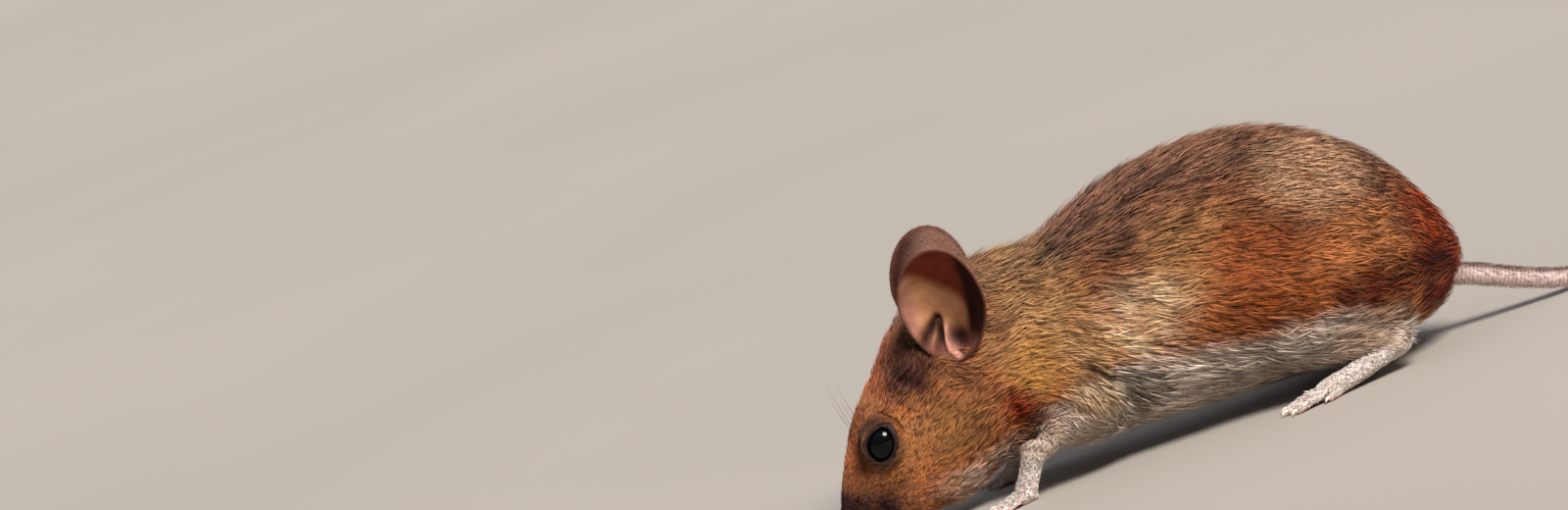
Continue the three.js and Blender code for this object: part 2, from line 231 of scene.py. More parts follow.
@dataclass(frozen=True)
class SectionLoft:
    """A form whose egg-shaped sections stand square to a straight axis in the middle plane.

    Each row holds the place along the axis, the centre above it, the half height, and the half width over it.
    """

    rows: tuple[tuple[float, float, float, float], ...]
    origin: tuple[float, float] = (0.0, 0.0)
    pitch: float = 0.0
    sag: float = 0.0

    def along_above(self, p: Array) -> tuple[Array, Array]:
        """Places in the form's own axis.

        Args:
            p: Points, one in each row.

        Returns:
            How far along the axis each point is, and how far above it.
        """
        dx, dz = p[:, 0] - self.origin[0], p[:, 2] - self.origin[1]
        c, s = math.cos(self.pitch), math.sin(self.pitch)
        return dx * c + dz * s, dz * c - dx * s

    def _curve(self, values: Array, x: Array) -> tuple[Array, Array]:
        """A smooth curve through one column, straight past its ends.

        Args:
            values: The column, one value for each row.
            x: Where to read it.

        Returns:
            The values there, and the slopes.
        """
        places = np.array([row[0] for row in self.rows], float)
        gaps = np.diff(places)
        chords = np.diff(values) / gaps
        slopes = np.empty_like(values)
        slopes[0], slopes[-1] = chords[0], chords[-1]
        slopes[1:-1] = (chords[1:] * gaps[:-1] + chords[:-1] * gaps[1:]) / (gaps[:-1] + gaps[1:])
        i = np.clip(np.searchsorted(places, x, side="right") - 1, 0, len(gaps) - 1)
        h, inside = gaps[i], np.clip(x, places[0], places[-1])
        t = (inside - places[i]) / h
        y = (
            (1 + 2 * t) * (1 - t) ** 2 * values[i]
            + t * (1 - t) ** 2 * h * slopes[i]
            + t * t * (3 - 2 * t) * values[i + 1]
            + t * t * (t - 1) * h * slopes[i + 1]
        )
        dy = (
            (6 * t * t - 6 * t) / h * (values[i] - values[i + 1])
            + (3 * t * t - 4 * t + 1) * slopes[i]
            + (3 * t * t - 2 * t) * slopes[i + 1]
        )
        return y + (x - inside) * dy, dy

    def distance(self, p: Array) -> Array:
        """Distances from the form's surface, near enough, and below 0 inside it."""
        table = np.array(self.rows, float)
        a, v = self.along_above(p)
        centre, _ = self._curve(table[:, 1], a)
        ratio, _ = self._curve(table[:, 3], np.clip(a, table[0, 0], table[-1, 0]))
        square, slope = self._curve(table[:, 2] ** 2, a)
        up = v - centre
        lean = np.clip(up / np.sqrt(np.maximum(square, 1)), -1.2, 1.2)
        wide = ratio * (1 - self.sag * lean)
        d2 = (p[:, 1] / wide) ** 2 + up * up
        return (d2 - square) / (2 * np.sqrt(d2 + (slope / 2) ** 2) + 1e-6) * np.minimum(wide, 1)


@dataclass(frozen=True)
class Bulge:
    """An ellipsoid that swells the body on both sides. Its centre's Y is the distance from the middle."""

    centre: Point
    radii: Point
    pitch: float = 0.0

    def distance(self, p: Array) -> Array:
        """Distances from the ellipsoid, near enough."""
        c, s = math.cos(self.pitch), math.sin(self.pitch)
        dx, dz = p[:, 0] - self.centre[0], p[:, 2] - self.centre[2]
        q = np.stack([dx * c + dz * s, np.abs(p[:, 1]) - self.centre[1], dz * c - dx * s], axis=1)
        k0 = np.linalg.norm(q / self.radii, axis=1)
        k1 = np.linalg.norm(q / np.square(self.radii), axis=1) + 1e-9
        return k0 * (k0 - 1) / k1


@dataclass(frozen=True)
class Limb:
    """A tapered limb with round ends, on both sides of the body. flat is its height over its width."""

    start: Point
    end: Point
    start_radius: float
    end_radius: float
    flat: float = 1.0

    def along(self, p: Array) -> Array:
        """How far along the limb each point is, from 0 at its start to 1 at its end."""
        way = np.subtract(self.end, self.start)
        q = on_right(p) - self.start
        return np.clip(q @ way / (way @ way), 0, 1)

    def distance(self, p: Array) -> Array:
        """Distances from the limb, near enough."""
        t = self.along(p)
        q = on_right(p) - self.start
        q -= t[:, None] * np.subtract(self.end, self.start)
        q[:, 2] /= self.flat
        radius = self.start_radius + (self.end_radius - self.start_radius) * t
        return (np.linalg.norm(q, axis=1) - radius) * min(1.0, self.flat)


@dataclass(frozen=True)
class Paw:
    """The digits of one kind of foot, fanned out from its ball. Sizes are given for the left side."""

    heel: Point
    ball: Point
    knuckle_height: float
    spread: tuple[float, ...]
    length: tuple[float, ...]
    set_back: tuple[float, ...]
    step: float
    root: float
    tip: float

    def lines(self) -> list[tuple[Array, Array, Array]]:
        """The start, knuckle and end of each digit."""
        heading = math.atan2(self.ball[1] - self.heel[1], self.heel[0] - self.ball[0])
        found = []
        for i, (degrees, length) in enumerate(zip(self.spread, self.length)):
            angle = heading + math.radians(degrees)
            way = np.array([-math.cos(angle), math.sin(angle), 0.0])
            across = np.array([math.sin(angle), math.cos(angle), 0.0])
            start = np.array(self.ball, float)
            start[2] = self.knuckle_height
            start += across * (i - (len(self.spread) - 1) / 2) * self.step - way * self.set_back[i]
            knuckle, end = start + way * length * 0.5, start + way * length
            knuckle[2], end[2] = self.root + 0.25, self.tip - 0.05
            found.append((start, knuckle, end))
        return found

    def limbs(self) -> list[Limb]:
        """Each digit as two lengths of limb."""
        made = []
        for start, knuckle, end in self.lines():
            middle = (self.root + self.tip) / 2
            made.append(Limb(tuple(start), tuple(knuckle), self.root, middle))
            made.append(Limb(tuple(knuckle), tuple(end), middle, self.tip))
        return made


FOREARM = Limb((-4.5, 8.2, 9.5), (-13.6, 8.9, 5.3), 2.9, 1.35)
PALM = Limb((-13.6, 8.9, 5.3), (-16.2, 9.0, 1.05), 1.35, 1.5, 0.85)
FOREPAW = Paw(
    heel=(-13.6, 8.9, 5.3),
    ball=(-16.5, 9.0, 1.3),
    knuckle_height=1.3,
    spread=(-26, -9, 8, 26),
    length=(3, 3.6, 3.6, 3),
    set_back=(0, 0, 0, 0),
    step=0.72,
    root=0.62,
    tip=0.45,
)
SHANK = Limb((20.5, 9.4, 8.6), (33.6, 11, 3.9), 2.9, 1.75)
SOLE = Limb((34, 10.9, 3.1), (23.6, 13, 1.1), 1.45, 1.75, 0.8)
HINDPAW = Paw(
    heel=(34, 10.9, 3.1),
    ball=(23.6, 13, 1.1),
    knuckle_height=1.1,
    spread=(-24, -10, 2, 14, 34),
    length=(3.6, 5.3, 5.6, 5.2, 3.6),
    set_back=(2, 0, 0, 0, 2),
    step=0.68,
    root=0.8,
    tip=0.5,
)


@dataclass(frozen=True)
class EarForm:
    """The ear's dish: an oval that opens outwards, with a curled rear edge and the folds at its foot.

    A place on it is told by across, -1 at the front edge and 1 at the rear, and by up, -1 at the foot and 1
    at the top.
    """

    centre: Point = (-17.9, 9.6, 27.0)
    up_way: Point = (0.12, 0.2, 1.0)
    out_way: Point = (-0.3, 1.0, -0.05)
    half_width: float = 5.6
    half_height: float = 7.4
    depth: float = 3.3
    rear_curl: float = 1.3
    base_taper: float = 0.16
    thickness: float = 0.45
    inset: float = 0.14  # of the skin inside the solid ear
    canal: Line = ((-0.68, -0.6), (-0.36, -0.38), (-0.32, -0.68))
    ridge: Line = ((-0.15, -0.5), (-0.19, -0.68), (-0.1, -0.83), (0.14, -0.93))

    def axes(self) -> tuple[Array, Array, Array]:
        """The ear's rear, up and outward directions on the +Y side."""
        up = unit(np.array(self.up_way))
        out = np.array(self.out_way)
        out = unit(out - up * (out @ up))
        return -np.cross(up, out), up, out

    def folds(self, across: Array, up: Array) -> Array:
        """How far the folds at the ear's foot stand out of the dish, in mm."""
        tragus = 1.0 * bell(np.hypot(across + 0.5, up + 0.74), 0.15)
        canal = -1.4 * bell(self.from_line(across, up, self.canal), 0.09)
        ridge = 1.2 * bell(self.from_line(across, up, self.ridge), 0.085)
        return tragus + canal + ridge - 0.9 * bell(self.from_hollow(across, up), 0.2)

    @staticmethod
    def from_line(across: Array, up: Array, line: Line) -> Array:
        """How far places on the ear are from a line of straight lengths."""
        found = np.full(np.shape(across), np.inf)
        for (a, b), (c, d) in zip(line, line[1:]):
            t = np.clip(((across - a) * (c - a) + (up - b) * (d - b)) / ((c - a) ** 2 + (d - b) ** 2), 0, 1)
            found = np.minimum(found, np.hypot(across - a - (c - a) * t, up - b - (d - b) * t))
        return found

    def from_hollow(self, across: Array, up: Array) -> Array:
        """How far places on the ear are from the hollow behind the ridge."""
        return np.hypot((across - 0.13) / 1.6, up + 0.71)

    def height(self, across: Array, up: Array) -> Array:
        """How far the inner face stands outwards of the ear's middle plane, in mm."""
        share = np.minimum(np.hypot(across, up), 1)
        back = np.maximum(across, 0)
        dish = self.rear_curl * back**2 - self.depth * (1 - share**2.2)
        lip = 0.3 * ease(share, 0.86, 1.0)
        return dish + lip + self.folds(across, up) * (1 - ease(share, 0.86, 1.05)) - self.inset

    def place(self, across: Array, up: Array, lift: Array) -> Array:
        """Points of the ear on the +Y side.

        Args:
            across: From -1 at the front edge to 1 at the rear.
            up: From -1 at the foot to 1 at the top.
            lift: Outwards of the middle plane, in mm.

        Returns:
            One point in each row.
        """
        rear, high, out = self.axes()
        low = np.maximum(0, -up)
        wide = self.half_width * across * (1 - self.base_taper * low)
        return np.array(self.centre) + np.multiply.outer(wide, rear) + np.multiply.outer(
            self.half_height * up, high
        ) + np.multiply.outer(lift, out)

    def local(self, p: Array) -> tuple[Array, Array, Array]:
        """Across, up and lift of points in space, on either side."""
        rear, high, out = self.axes()
        q = on_right(p) - self.centre
        up = q @ high / self.half_height
        across = q @ rear / self.half_width / (1 - self.base_taper * np.clip(-up, 0, 1.2))
        return across, up, q @ out


EAR = EarForm()


class MouseForm:
    """The whole mouse as two distance fields: out to the tips of its coat, and down to its skin."""

    head = SectionLoft(HEAD_SECTIONS, NOSE, HEAD_PITCH)
    trunk = SectionLoft(TRUNK_SECTIONS, sag=TRUNK_SAG)
    shoulder = Bulge((-6, 6.6, 12.5), (6.5, 4.4, 8.5))
    haunch = Bulge((29, 7.8, 12.6), (11, 7.2, 9.6), 0.25)
    limb_blend = 1.2
    lid_reach = (2.36, 1.95)  # half the opening between the lids, along its long axis and across it
    lid_tilt = math.radians(58)  # of the long axis, from level
    lid_roll = 0.3

    def head_point(self, along: float, above: float, out: float = 0.0) -> Array:
        """A point given in the head's own axis, on the +Y side."""
        c, s = math.cos(HEAD_PITCH), math.sin(HEAD_PITCH)
        return np.array([NOSE[0] + along * c - above * s, out, NOSE[1] + along * s + above * c])

    def eye_centre(self) -> Array:
        """The middle of the right eyeball."""
        return self.head_point(EYE_ALONG, EYE_ABOVE, EYE_OUT)

    def from_eye(self, p: Array) -> Array:
        """How far points are from the middle of the nearer eyeball, in mm."""
        return np.linalg.norm(on_right(p) - self.eye_centre(), axis=1)

    def eye_way(self) -> Array:
        """Where the right eye looks: out, a little forwards and up."""
        return unit(self.head_point(-0.22, 0.1, 1.0) - self.head_point(0, 0, 0))

    def body_coat(self, p: Array) -> Array:
        """Distances from the coat of head, neck and trunk."""
        core = blended(self.trunk.distance(p), self.head.distance(p), NECK_BLEND)
        hips = blended(core, self.haunch.distance(p), BULGE_BLEND)
        return blended(hips, self.shoulder.distance(p), BULGE_BLEND)

    def throat(self, p: Array) -> Array:
        """How far the loose fur of the throat hangs out, in mm."""
        return 1.5 * bell(EAR.from_line(p[:, 0], p[:, 2], ((-23, 2.5), (-18, 4.8), (-14, 6.5))), 2.6)

    def furred_limbs(self, p: Array) -> Array:
        """Distances from the coat of the forearms and shanks."""
        return np.minimum(FOREARM.distance(p), SHANK.distance(p))

    def bare_limbs(self, p: Array) -> Array:
        """Distances from the four feet, which have no more than a down, read only low down."""
        found = np.full(len(p), 5.0)
        low = p[:, 2] < 7.5
        found[low] = np.minimum(self._feet(p[low]), 5.0)
        return found

    def _feet(self, p: Array) -> Array:
        """Distances from palms, soles, digits and pads."""
        found = np.minimum(PALM.distance(p), SOLE.distance(p))
        for limb in FOREPAW.limbs() + HINDPAW.limbs():
            found = blended(found, limb.distance(p), 0.3)
        pads = [(-16.6, 8.1, 0.5), (-16.6, 9.9, 0.5), (-15.4, 9.0, 0.6)]
        pads += [(23.2, 12.0, 0.55), (22.6, 13.2, 0.5), (24.2, 14.2, 0.55), (26.4, 12.5, 0.9)]
        for pad in pads:
            found = blended(found, Bulge(pad, (0.8, 0.65, 0.6)).distance(p), 0.3)
        return found

    def coat(self, p: Array) -> Array:
        """Distances from the outside of the coat."""
        limbs = blended(self.furred_limbs(p), self.bare_limbs(p), 0.8)
        return blended(self.body_coat(p) - self.throat(p), limbs, self.limb_blend)

    def station(self, p: Array) -> Array:
        """How far back from the nose a point is along the head's axis, in mm."""
        return self.head.along_above(p)[0]

    def limb_share(self, p: Array) -> Array:
        """1 on a forearm, shank or foot, and 0 on the body."""
        down = np.where(p[:, 0] < LEGS_PART, FOREARM.along(p), SHANK.along(p))
        return ease(self.body_coat(p) - self.furred_limbs(p), -0.2, 2.2) * ease(down, 0.05, 0.6)

    def foot_share(self, p: Array) -> Array:
        """1 on a foot and 0 elsewhere."""
        return ease(np.minimum(self.body_coat(p), self.furred_limbs(p)) - self.bare_limbs(p), -0.3, 0.7)

    def depth(self, p: Array) -> Array:
        """The depth of the coat of head, neck and trunk, in mm."""
        deep = ramp(
            self.station(p), (0, 0.1), (4, 0.22), (8, 0.35), (13, 0.45), (18, 0.8), (24, 1.2), (32, 1.6)
        )
        deep = deep * (1 - 0.3 * ease(-p[:, 2], -8, -4) * ease(p[:, 0], -12, -4))
        return deep * (0.35 + 0.65 * ease(self.from_eye(p), EYE_RADIUS, EYE_RADIUS + 2.5))

    def limb_depth(self, p: Array) -> Array:
        """The depth of the coat of the forearms and shanks."""
        return np.where(p[:, 0] < LEGS_PART, 0.9 - 0.7 * FOREARM.along(p), 1.0 - 0.8 * SHANK.along(p))

    def face(self, p: Array, skin: Array) -> Array:
        """Adds the nose pad, nostrils, mouth, whisker pads and eyelids to the skin.

        Args:
            p: Points, one in each row.
            skin: The skin's distances without them.

        Returns:
            The skin's distances with them.
        """
        q = on_right(p)
        a, v = self.head.along_above(p)
        y = q[:, 1]
        pad = Bulge(tuple(self.head_point(1.2, 0.1, 0.0)), (1.25, 1.5, 1.05), HEAD_PITCH)
        skin = blended(skin, pad.distance(p), 0.5)
        skin = skin - 0.35 * bell(np.sqrt((a - 4.2) ** 2 + (v + 1.6) ** 2 + (y - 3.2) ** 2), 2.0)
        cheek = np.sqrt(((a - 17) / 1.4) ** 2 + (v + 4.5) ** 2 + (y - 7) ** 2)
        skin = skin - 0.3 * bell(cheek, 3.5)
        skin = skin + 0.8 * bell(self.from_nostril(q), 0.3)
        skin = skin + 0.35 * self.cleft(q)
        lip = self.from_lips(a, v) + 0.35 * bell(y, 0.9)
        mouth = bell(lip, 0.24) * (1 - ease(a, 6.2, 8.0))
        skin = skin + 0.42 * mouth
        reach, facing, slit, opening = self.eye_slit(q)
        rim = np.sqrt((EYE_RADIUS + 0.08) ** 2 - opening**2)
        roll = np.hypot(slit - opening, facing - rim) - self.lid_roll
        lid = np.maximum(np.maximum(reach - EYE_RADIUS - 0.34, opening - slit), -facing)
        skin = blended(blended(skin, lid, 1.5), roll, 0.9)
        return np.maximum(skin, EYE_RADIUS + 0.05 - reach)

    @staticmethod
    def from_lips(along: Array, above: Array) -> Array:
        """How far above the line between the lips a place in the head's axis is, in mm."""
        return above + 3.15 + 0.12 * (along - 2)

    def from_nostril(self, q: Array) -> Array:
        """How far points on the +Y side are from the nostril, a slit that curls outwards and up, in mm."""
        a, v = self.head.along_above(q)
        across = q[:, 1] - 0.8
        return np.sqrt(((a - 0.35) / 5) ** 2 + (v - 0.1 - 0.35 * across) ** 2 + (across / 1.5) ** 2)

    def cleft(self, q: Array) -> Array:
        """1 in the groove that parts the nose pad and the upper lip, and 0 away from it."""
        a, v = self.head.along_above(q)
        from_line = np.hypot(q[:, 1], np.maximum(0, np.maximum(a - 2.2, -0.6 - a)))
        return bell(from_line, 0.19) * (1 - ease(v, 0.1, 0.7)) * ease(v, -4, -3)

    def eye_slit(self, q: Array) -> tuple[Array, Array, Array, Array]:
        """Where points lie about the right eye.

        Args:
            q: Points on the +Y side, one in each row.

        Returns:
            The distance from the eye's middle, its part along the way the eye looks, its part across that,
            and how far across the opening between the lids reaches there.
        """
        way = self.eye_way()
        long_axis = np.array([math.cos(self.lid_tilt), 0, math.sin(self.lid_tilt)])
        long_axis = unit(long_axis - way * (long_axis @ way))
        from_eye = q - self.eye_centre()
        reach = np.linalg.norm(from_eye, axis=1)
        facing = from_eye @ way
        slit = np.sqrt(np.maximum(reach**2 - facing**2, 1e-9))
        on_long = np.clip((from_eye @ long_axis) / slit, -1, 1)
        # The corners are drawn out to blunt points.
        long_half = self.lid_reach[0] * (1 + 0.05 * ease(np.abs(on_long), 0.9, 1.0))
        opening = 1 / np.sqrt((on_long / long_half) ** 2 + (1 - on_long**2) / self.lid_reach[1] ** 2)
        return reach, facing, slit, opening

    def skin(self, p: Array) -> Array:
        """Distances from the skin of the whole mouse but for its ears and tail."""
        body = self.face(p, self.body_coat(p) + self.depth(p) - 0.5 * self.throat(p))
        across, up, lift = EAR.local(p)
        share = np.hypot(across, up)
        bowl = np.maximum((share - 0.97) * EAR.half_width, EAR.height(across, up) - BODY_UNDER_EAR - lift)
        body = np.maximum(body, -np.maximum(bowl, -3.5 - lift))
        legs = blended(self.furred_limbs(p) + self.limb_depth(p), self.bare_limbs(p) + 0.1, 0.8)
        whole = blended(body, legs, self.limb_blend)
        return np.maximum(whole, -p[:, 2])

    def slope(self, distance: Callable[[Array], Array], p: Array, step: float = 0.05) -> Array:
        """The field's steepest outward direction at each point.

        Args:
            distance: One of this form's fields.
            p: Points, one in each row.
            step: How far apart the field is read, in mm.

        Returns:
            The field's gradient, one vector in each row.
        """
        corners = np.array([(1, -1, -1), (-1, -1, 1), (-1, 1, -1), (1, 1, 1)])
        return sum(np.outer(distance(p + corner * step), corner) for corner in corners) / (4 * step)


# ---------------------------------------------------------------- meshes


@dataclass
class Surface:
    """A mesh in the mouse's own space, with values at its points."""

    points: Array
    faces: list[Array]  # arrays of faces, each with its own number of corners
    values: dict[str, Array] = field(default_factory=dict)
    patches: list[Array] = field(default_factory=list)  # for each array of faces, the UV place of each corner
    slots: list[Array] = field(default_factory=list)  # for each array of faces, each face's material

    def joined(self, other: "Surface") -> "Surface":
        """This surface and another as one."""
        shift = len(self.points)
        return Surface(
            np.concatenate([self.points, other.points]),
            self.faces + [f + shift for f in other.faces],
            {name: np.concatenate([v, other.values[name]]) for name, v in self.values.items()},
            self.patches + other.patches,
            self.slots + other.slots,
        )

    def mirrored(self) -> "Surface":
        """The same surface on the other side of the body."""
        return Surface(
            self.points * (1, -1, 1),
            [f[:, ::-1] for f in self.faces],
            dict(self.values),
            [p[:, ::-1] for p in self.patches],
            list(self.slots),
        )


class Space:
    """Turns the mouse's own millimetres into the metres of the shared frame."""

    def __init__(self, form: MouseForm) -> None:
        """Finds the way from one to the other by the eyes, which both of them hold."""
        corners = np.array([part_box(name) for name in ("eye_left", "eye_right")])
        self.shift = corners.mean(axis=(0, 1)) / METRES - form.eye_centre() * (1, 0, 1)

    def metres(self, points: Array) -> Array:
        """Points in the shared frame."""
        return (np.asarray(points, float) + self.shift) * METRES


def linked(name: str, data: bpy.types.ID) -> bpy.types.Object:
    """A new object in the scene, which holds a mesh, light or camera."""
    made = bpy.data.objects.new(name, data)
    bpy.context.scene.collection.objects.link(made)
    return made


def build_object(
    name: str,
    surface: Surface,
    space: Space,
    materials: list[bpy.types.Material],
) -> bpy.types.Object:
    """Makes a Blender object from a surface, and lets it ride on the body.

    Args:
        name: The piece's name.
        surface: Its mesh.
        space: Turns its points into the shared frame.
        materials: Its materials, in the order of the surface's slots.

    Returns:
        The object.
    """
    mesh = bpy.data.meshes.new(name)
    mesh.vertices.add(len(surface.points))
    mesh.vertices.foreach_set("co", space.metres(surface.points).astype(np.float32).ravel())
    counts = np.concatenate([np.full(len(f), f.shape[1], np.int32) for f in surface.faces])
    corners = np.concatenate([f.ravel() for f in surface.faces]).astype(np.int32)
    mesh.loops.add(len(corners))
    mesh.loops.foreach_set("vertex_index", corners)
    mesh.polygons.add(len(counts))
    starts = np.concatenate([[0], np.cumsum(counts)[:-1]]).astype(np.int32)
    mesh.polygons.foreach_set("loop_start", starts)
    mesh.polygons.foreach_set("use_smooth", np.ones(len(counts), bool))
    if surface.slots:
        mesh.polygons.foreach_set("material_index", np.concatenate(surface.slots).astype(np.int32))
    for key, values in surface.values.items():
        kind, prop = {1: ("FLOAT", "value"), 2: ("FLOAT_COLOR", "color")}[values.ndim]
        if kind == "FLOAT_COLOR":
            values = np.concatenate([values, np.ones((len(values), 1))], axis=1)
        layer = mesh.attributes.new(key, kind, "POINT")
        layer.data.foreach_set(prop, values.astype(np.float32).ravel())
    if surface.patches:
        uv = mesh.uv_layers.new(name="OFBake")
        places = np.concatenate([p.reshape(-1, 2) for p in surface.patches])
        uv.data.foreach_set("uv", places.astype(np.float32).ravel())
    for material in materials:
        mesh.materials.append(material)
    mesh.update(calc_edges=True)
    made = linked(name, mesh)
    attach(made, BODY)
    log.info("%s: %d points, %d faces", name, len(surface.points), len(counts))
    return made


def grid_faces(rows: int, columns: int, closed: bool = True) -> Array:
    """Quads between rows of points, each row closed into a ring if asked.

    Args:
        rows: How many rows there are.
        columns: How many points each has.
        closed: Whether the last point of a row meets the first.

    Returns:
        Four point numbers for each face.
    """
    i, j = np.meshgrid(np.arange(rows - 1), np.arange(columns if closed else columns - 1), indexing="ij")
    k = (j + 1) % columns
    low, high = i * columns, (i + 1) * columns
    return np.stack([low + j, low + k, high + k, high + j], -1).reshape(-1, 4)


def end_caps(count: int, sides: int) -> Array:
    """Fans of triangles that close both ends of a stack of rings.

    Args:
        count: How many points the rings have, which the first and the last middle follow.
        sides: How many points are in a ring.

    Returns:
        Three point numbers for each face.
    """
    i = np.arange(sides)
    k = (i + 1) % sides
    last = count - sides
    return np.concatenate([
        np.stack([np.full(sides, count), k, i], 1),
        np.stack([np.full(sides, count + 1), last + i, last + k], 1),
    ])


class SurfaceNet:
    """Draws one smooth mesh of quads through a field that is the same on both sides of the body."""

    coarse = 4  # fine cells along a rough one
    near_cells = 2.2  # how near the surface the fine field is read, in rough cells
    batch = 200000  # points read at a time

    def __init__(self, distance: Callable[[Array], Array], low: Array, high: Array, cell: float) -> None:
        """Reads the field on a grid, finely only near its surface.

        Args:
            distance: The field.
            low: The lowest corner, of which Y is left out.
            high: The highest corner.
            cell: The grid's spacing, in mm.
        """
        self.cell = cell
        coarse = self.coarse
        counts = [math.ceil((high[k] - low[k]) / (cell * coarse)) for k in (0, 2)]
        half = math.ceil(high[1] / (cell * coarse))
        self.low = np.array([low[0], 0.0, low[2]])
        rough_axes = [self.low[0] + np.arange(counts[0] + 1) * cell * coarse,
                      np.arange(half + 1) * cell * coarse,
                      self.low[2] + np.arange(counts[1] + 1) * cell * coarse]
        grid = np.stack(np.meshgrid(*rough_axes, indexing="ij"), -1)
        rough = distance(grid.reshape(-1, 3)).reshape(grid.shape[:3])
        near = np.abs(rough) < cell * coarse * self.near_cells
        fine_shape = [n * coarse + 1 for n in (counts[0], half, counts[1])]
        index = [np.clip((np.arange(n) + coarse // 2) // coarse, 0, rough.shape[k] - 1)
                 for k, n in enumerate(fine_shape)]
        self.values = rough[np.ix_(*index)].astype(np.float32)
        wanted = np.argwhere(near[np.ix_(*index)])
        found = np.empty(len(wanted), np.float32)
        for start in range(0, len(wanted), self.batch):
            part = slice(start, start + self.batch)
            found[part] = distance(self.low + wanted[part] * cell)
        self.values[tuple(wanted.T)] = found
        # The other half is the same, mirrored.
        self.values = np.concatenate([self.values[:, :0:-1], self.values], axis=1)
        self.low = self.low - (0, (fine_shape[1] - 1) * cell, 0)

    def _points(self, cells: Array) -> Array:
        """The mean of the places where the surface crosses each cell's edges."""
        total, count = np.zeros((len(cells), 3)), np.zeros(len(cells))
        for axis in range(3):
            others = [k for k in range(3) if k != axis]
            for step in ((0, 0), (0, 1), (1, 0), (1, 1)):
                start = cells.copy()
                start[:, others] += step
                end = start.copy()
                end[:, axis] += 1
                a, b = self.values[tuple(start.T)], self.values[tuple(end.T)]
                crosses = (a < 0) != (b < 0)
                place = start.astype(float)
                place[:, axis] += np.where(crosses, a / np.where(a == b, 1, a - b), 0)
                total += np.where(crosses[:, None], place, 0)
                count += crosses
        return total / count[:, None] * self.cell + self.low

    def surface(self) -> Surface:
        """The mesh, with its faces outwards."""
        inside = self.values < 0
        shape = np.array(inside.shape) - 1
        corners = sum(
            inside[i : i + shape[0], j : j + shape[1], k : k + shape[2]].astype(np.int8)
            for i in (0, 1) for j in (0, 1) for k in (0, 1)
        )
        cells = np.argwhere((corners > 0) & (corners < 8))
        number = np.full(tuple(shape), -1, np.int64)
        number[tuple(cells.T)] = np.arange(len(cells))
        quads = []
        for axis in range(3):
            others = [k for k in range(3) if k != axis]
            lower, upper = [slice(1, -1)] * 3, [slice(1, -1)] * 3
            lower[axis], upper[axis] = slice(0, -1), slice(1, None)
            edges = np.argwhere(inside[tuple(lower)] != inside[tuple(upper)])
            edges += np.array([k != axis for k in range(3)], int)
            ring = []
            for step in ((0, 0), (1, 0), (1, 1), (0, 1)):
                cell = edges.copy()
                cell[:, others] -= step
                ring.append(number[tuple(cell.T)])
            ring = np.stack(ring, axis=1)
            starts_inside = inside[tuple(edges.T)]
            keep = starts_inside if axis != 1 else ~starts_inside
            quads.append(np.where(keep[:, None], ring, ring[:, ::-1]))
        return Surface(self._points(cells), [np.concatenate(quads)])


def sweep(
    line: Array, radii: Array, sides: int, flat: float = 1.0, turn: float = 0.0
) -> tuple[Array, Array, list[Array]]:
    """A tube along a line of points, closed at both ends.

    Args:
        line: The points.
        radii: The radius at each.
        sides: How many sides the tube has.
        flat: Its height over its width.
        turn: How far its first side is turned from level, in radians.

    Returns:
        The points, each one's angle round the tube, and arrays of faces.
    """
    line = np.asarray(line, float)
    tangent = unit(np.gradient(line, axis=0))
    across = unit(np.stack([-tangent[:, 1], tangent[:, 0], np.zeros(len(line))], axis=1) + 1e-9)
    up = np.cross(tangent, across)
    angle = np.arange(sides) / sides * math.tau + turn
    ring = across[:, None] * np.cos(angle)[:, None] + up[:, None] * (flat * np.sin(angle))[:, None]
    points = (line[:, None] + ring * np.asarray(radii)[:, None, None]).reshape(-1, 3)
    count = len(points)
    points = np.concatenate([points, line[:1], line[-1:]])
    caps = end_caps(count, sides)
    angles = np.concatenate([np.tile(angle, len(line)), [0, 0]])
    return points, angles, [grid_faces(len(line), sides), caps]


# ---------------------------------------------------------------- markings


@dataclass(frozen=True)
class Marking:
    """A soft-edged patch of colour on both sides of the coat."""

    centre: Point
    radii: Point
    colour: str
    strength: float = 1.0

    def share(self, p: Array) -> Array:
        """How much of this colour each point takes."""
        q = on_right(p) - self.centre
        reach = np.linalg.norm(q / self.radii, axis=1)
        return self.strength * (1 - ease(reach, 0.35, 1.15))


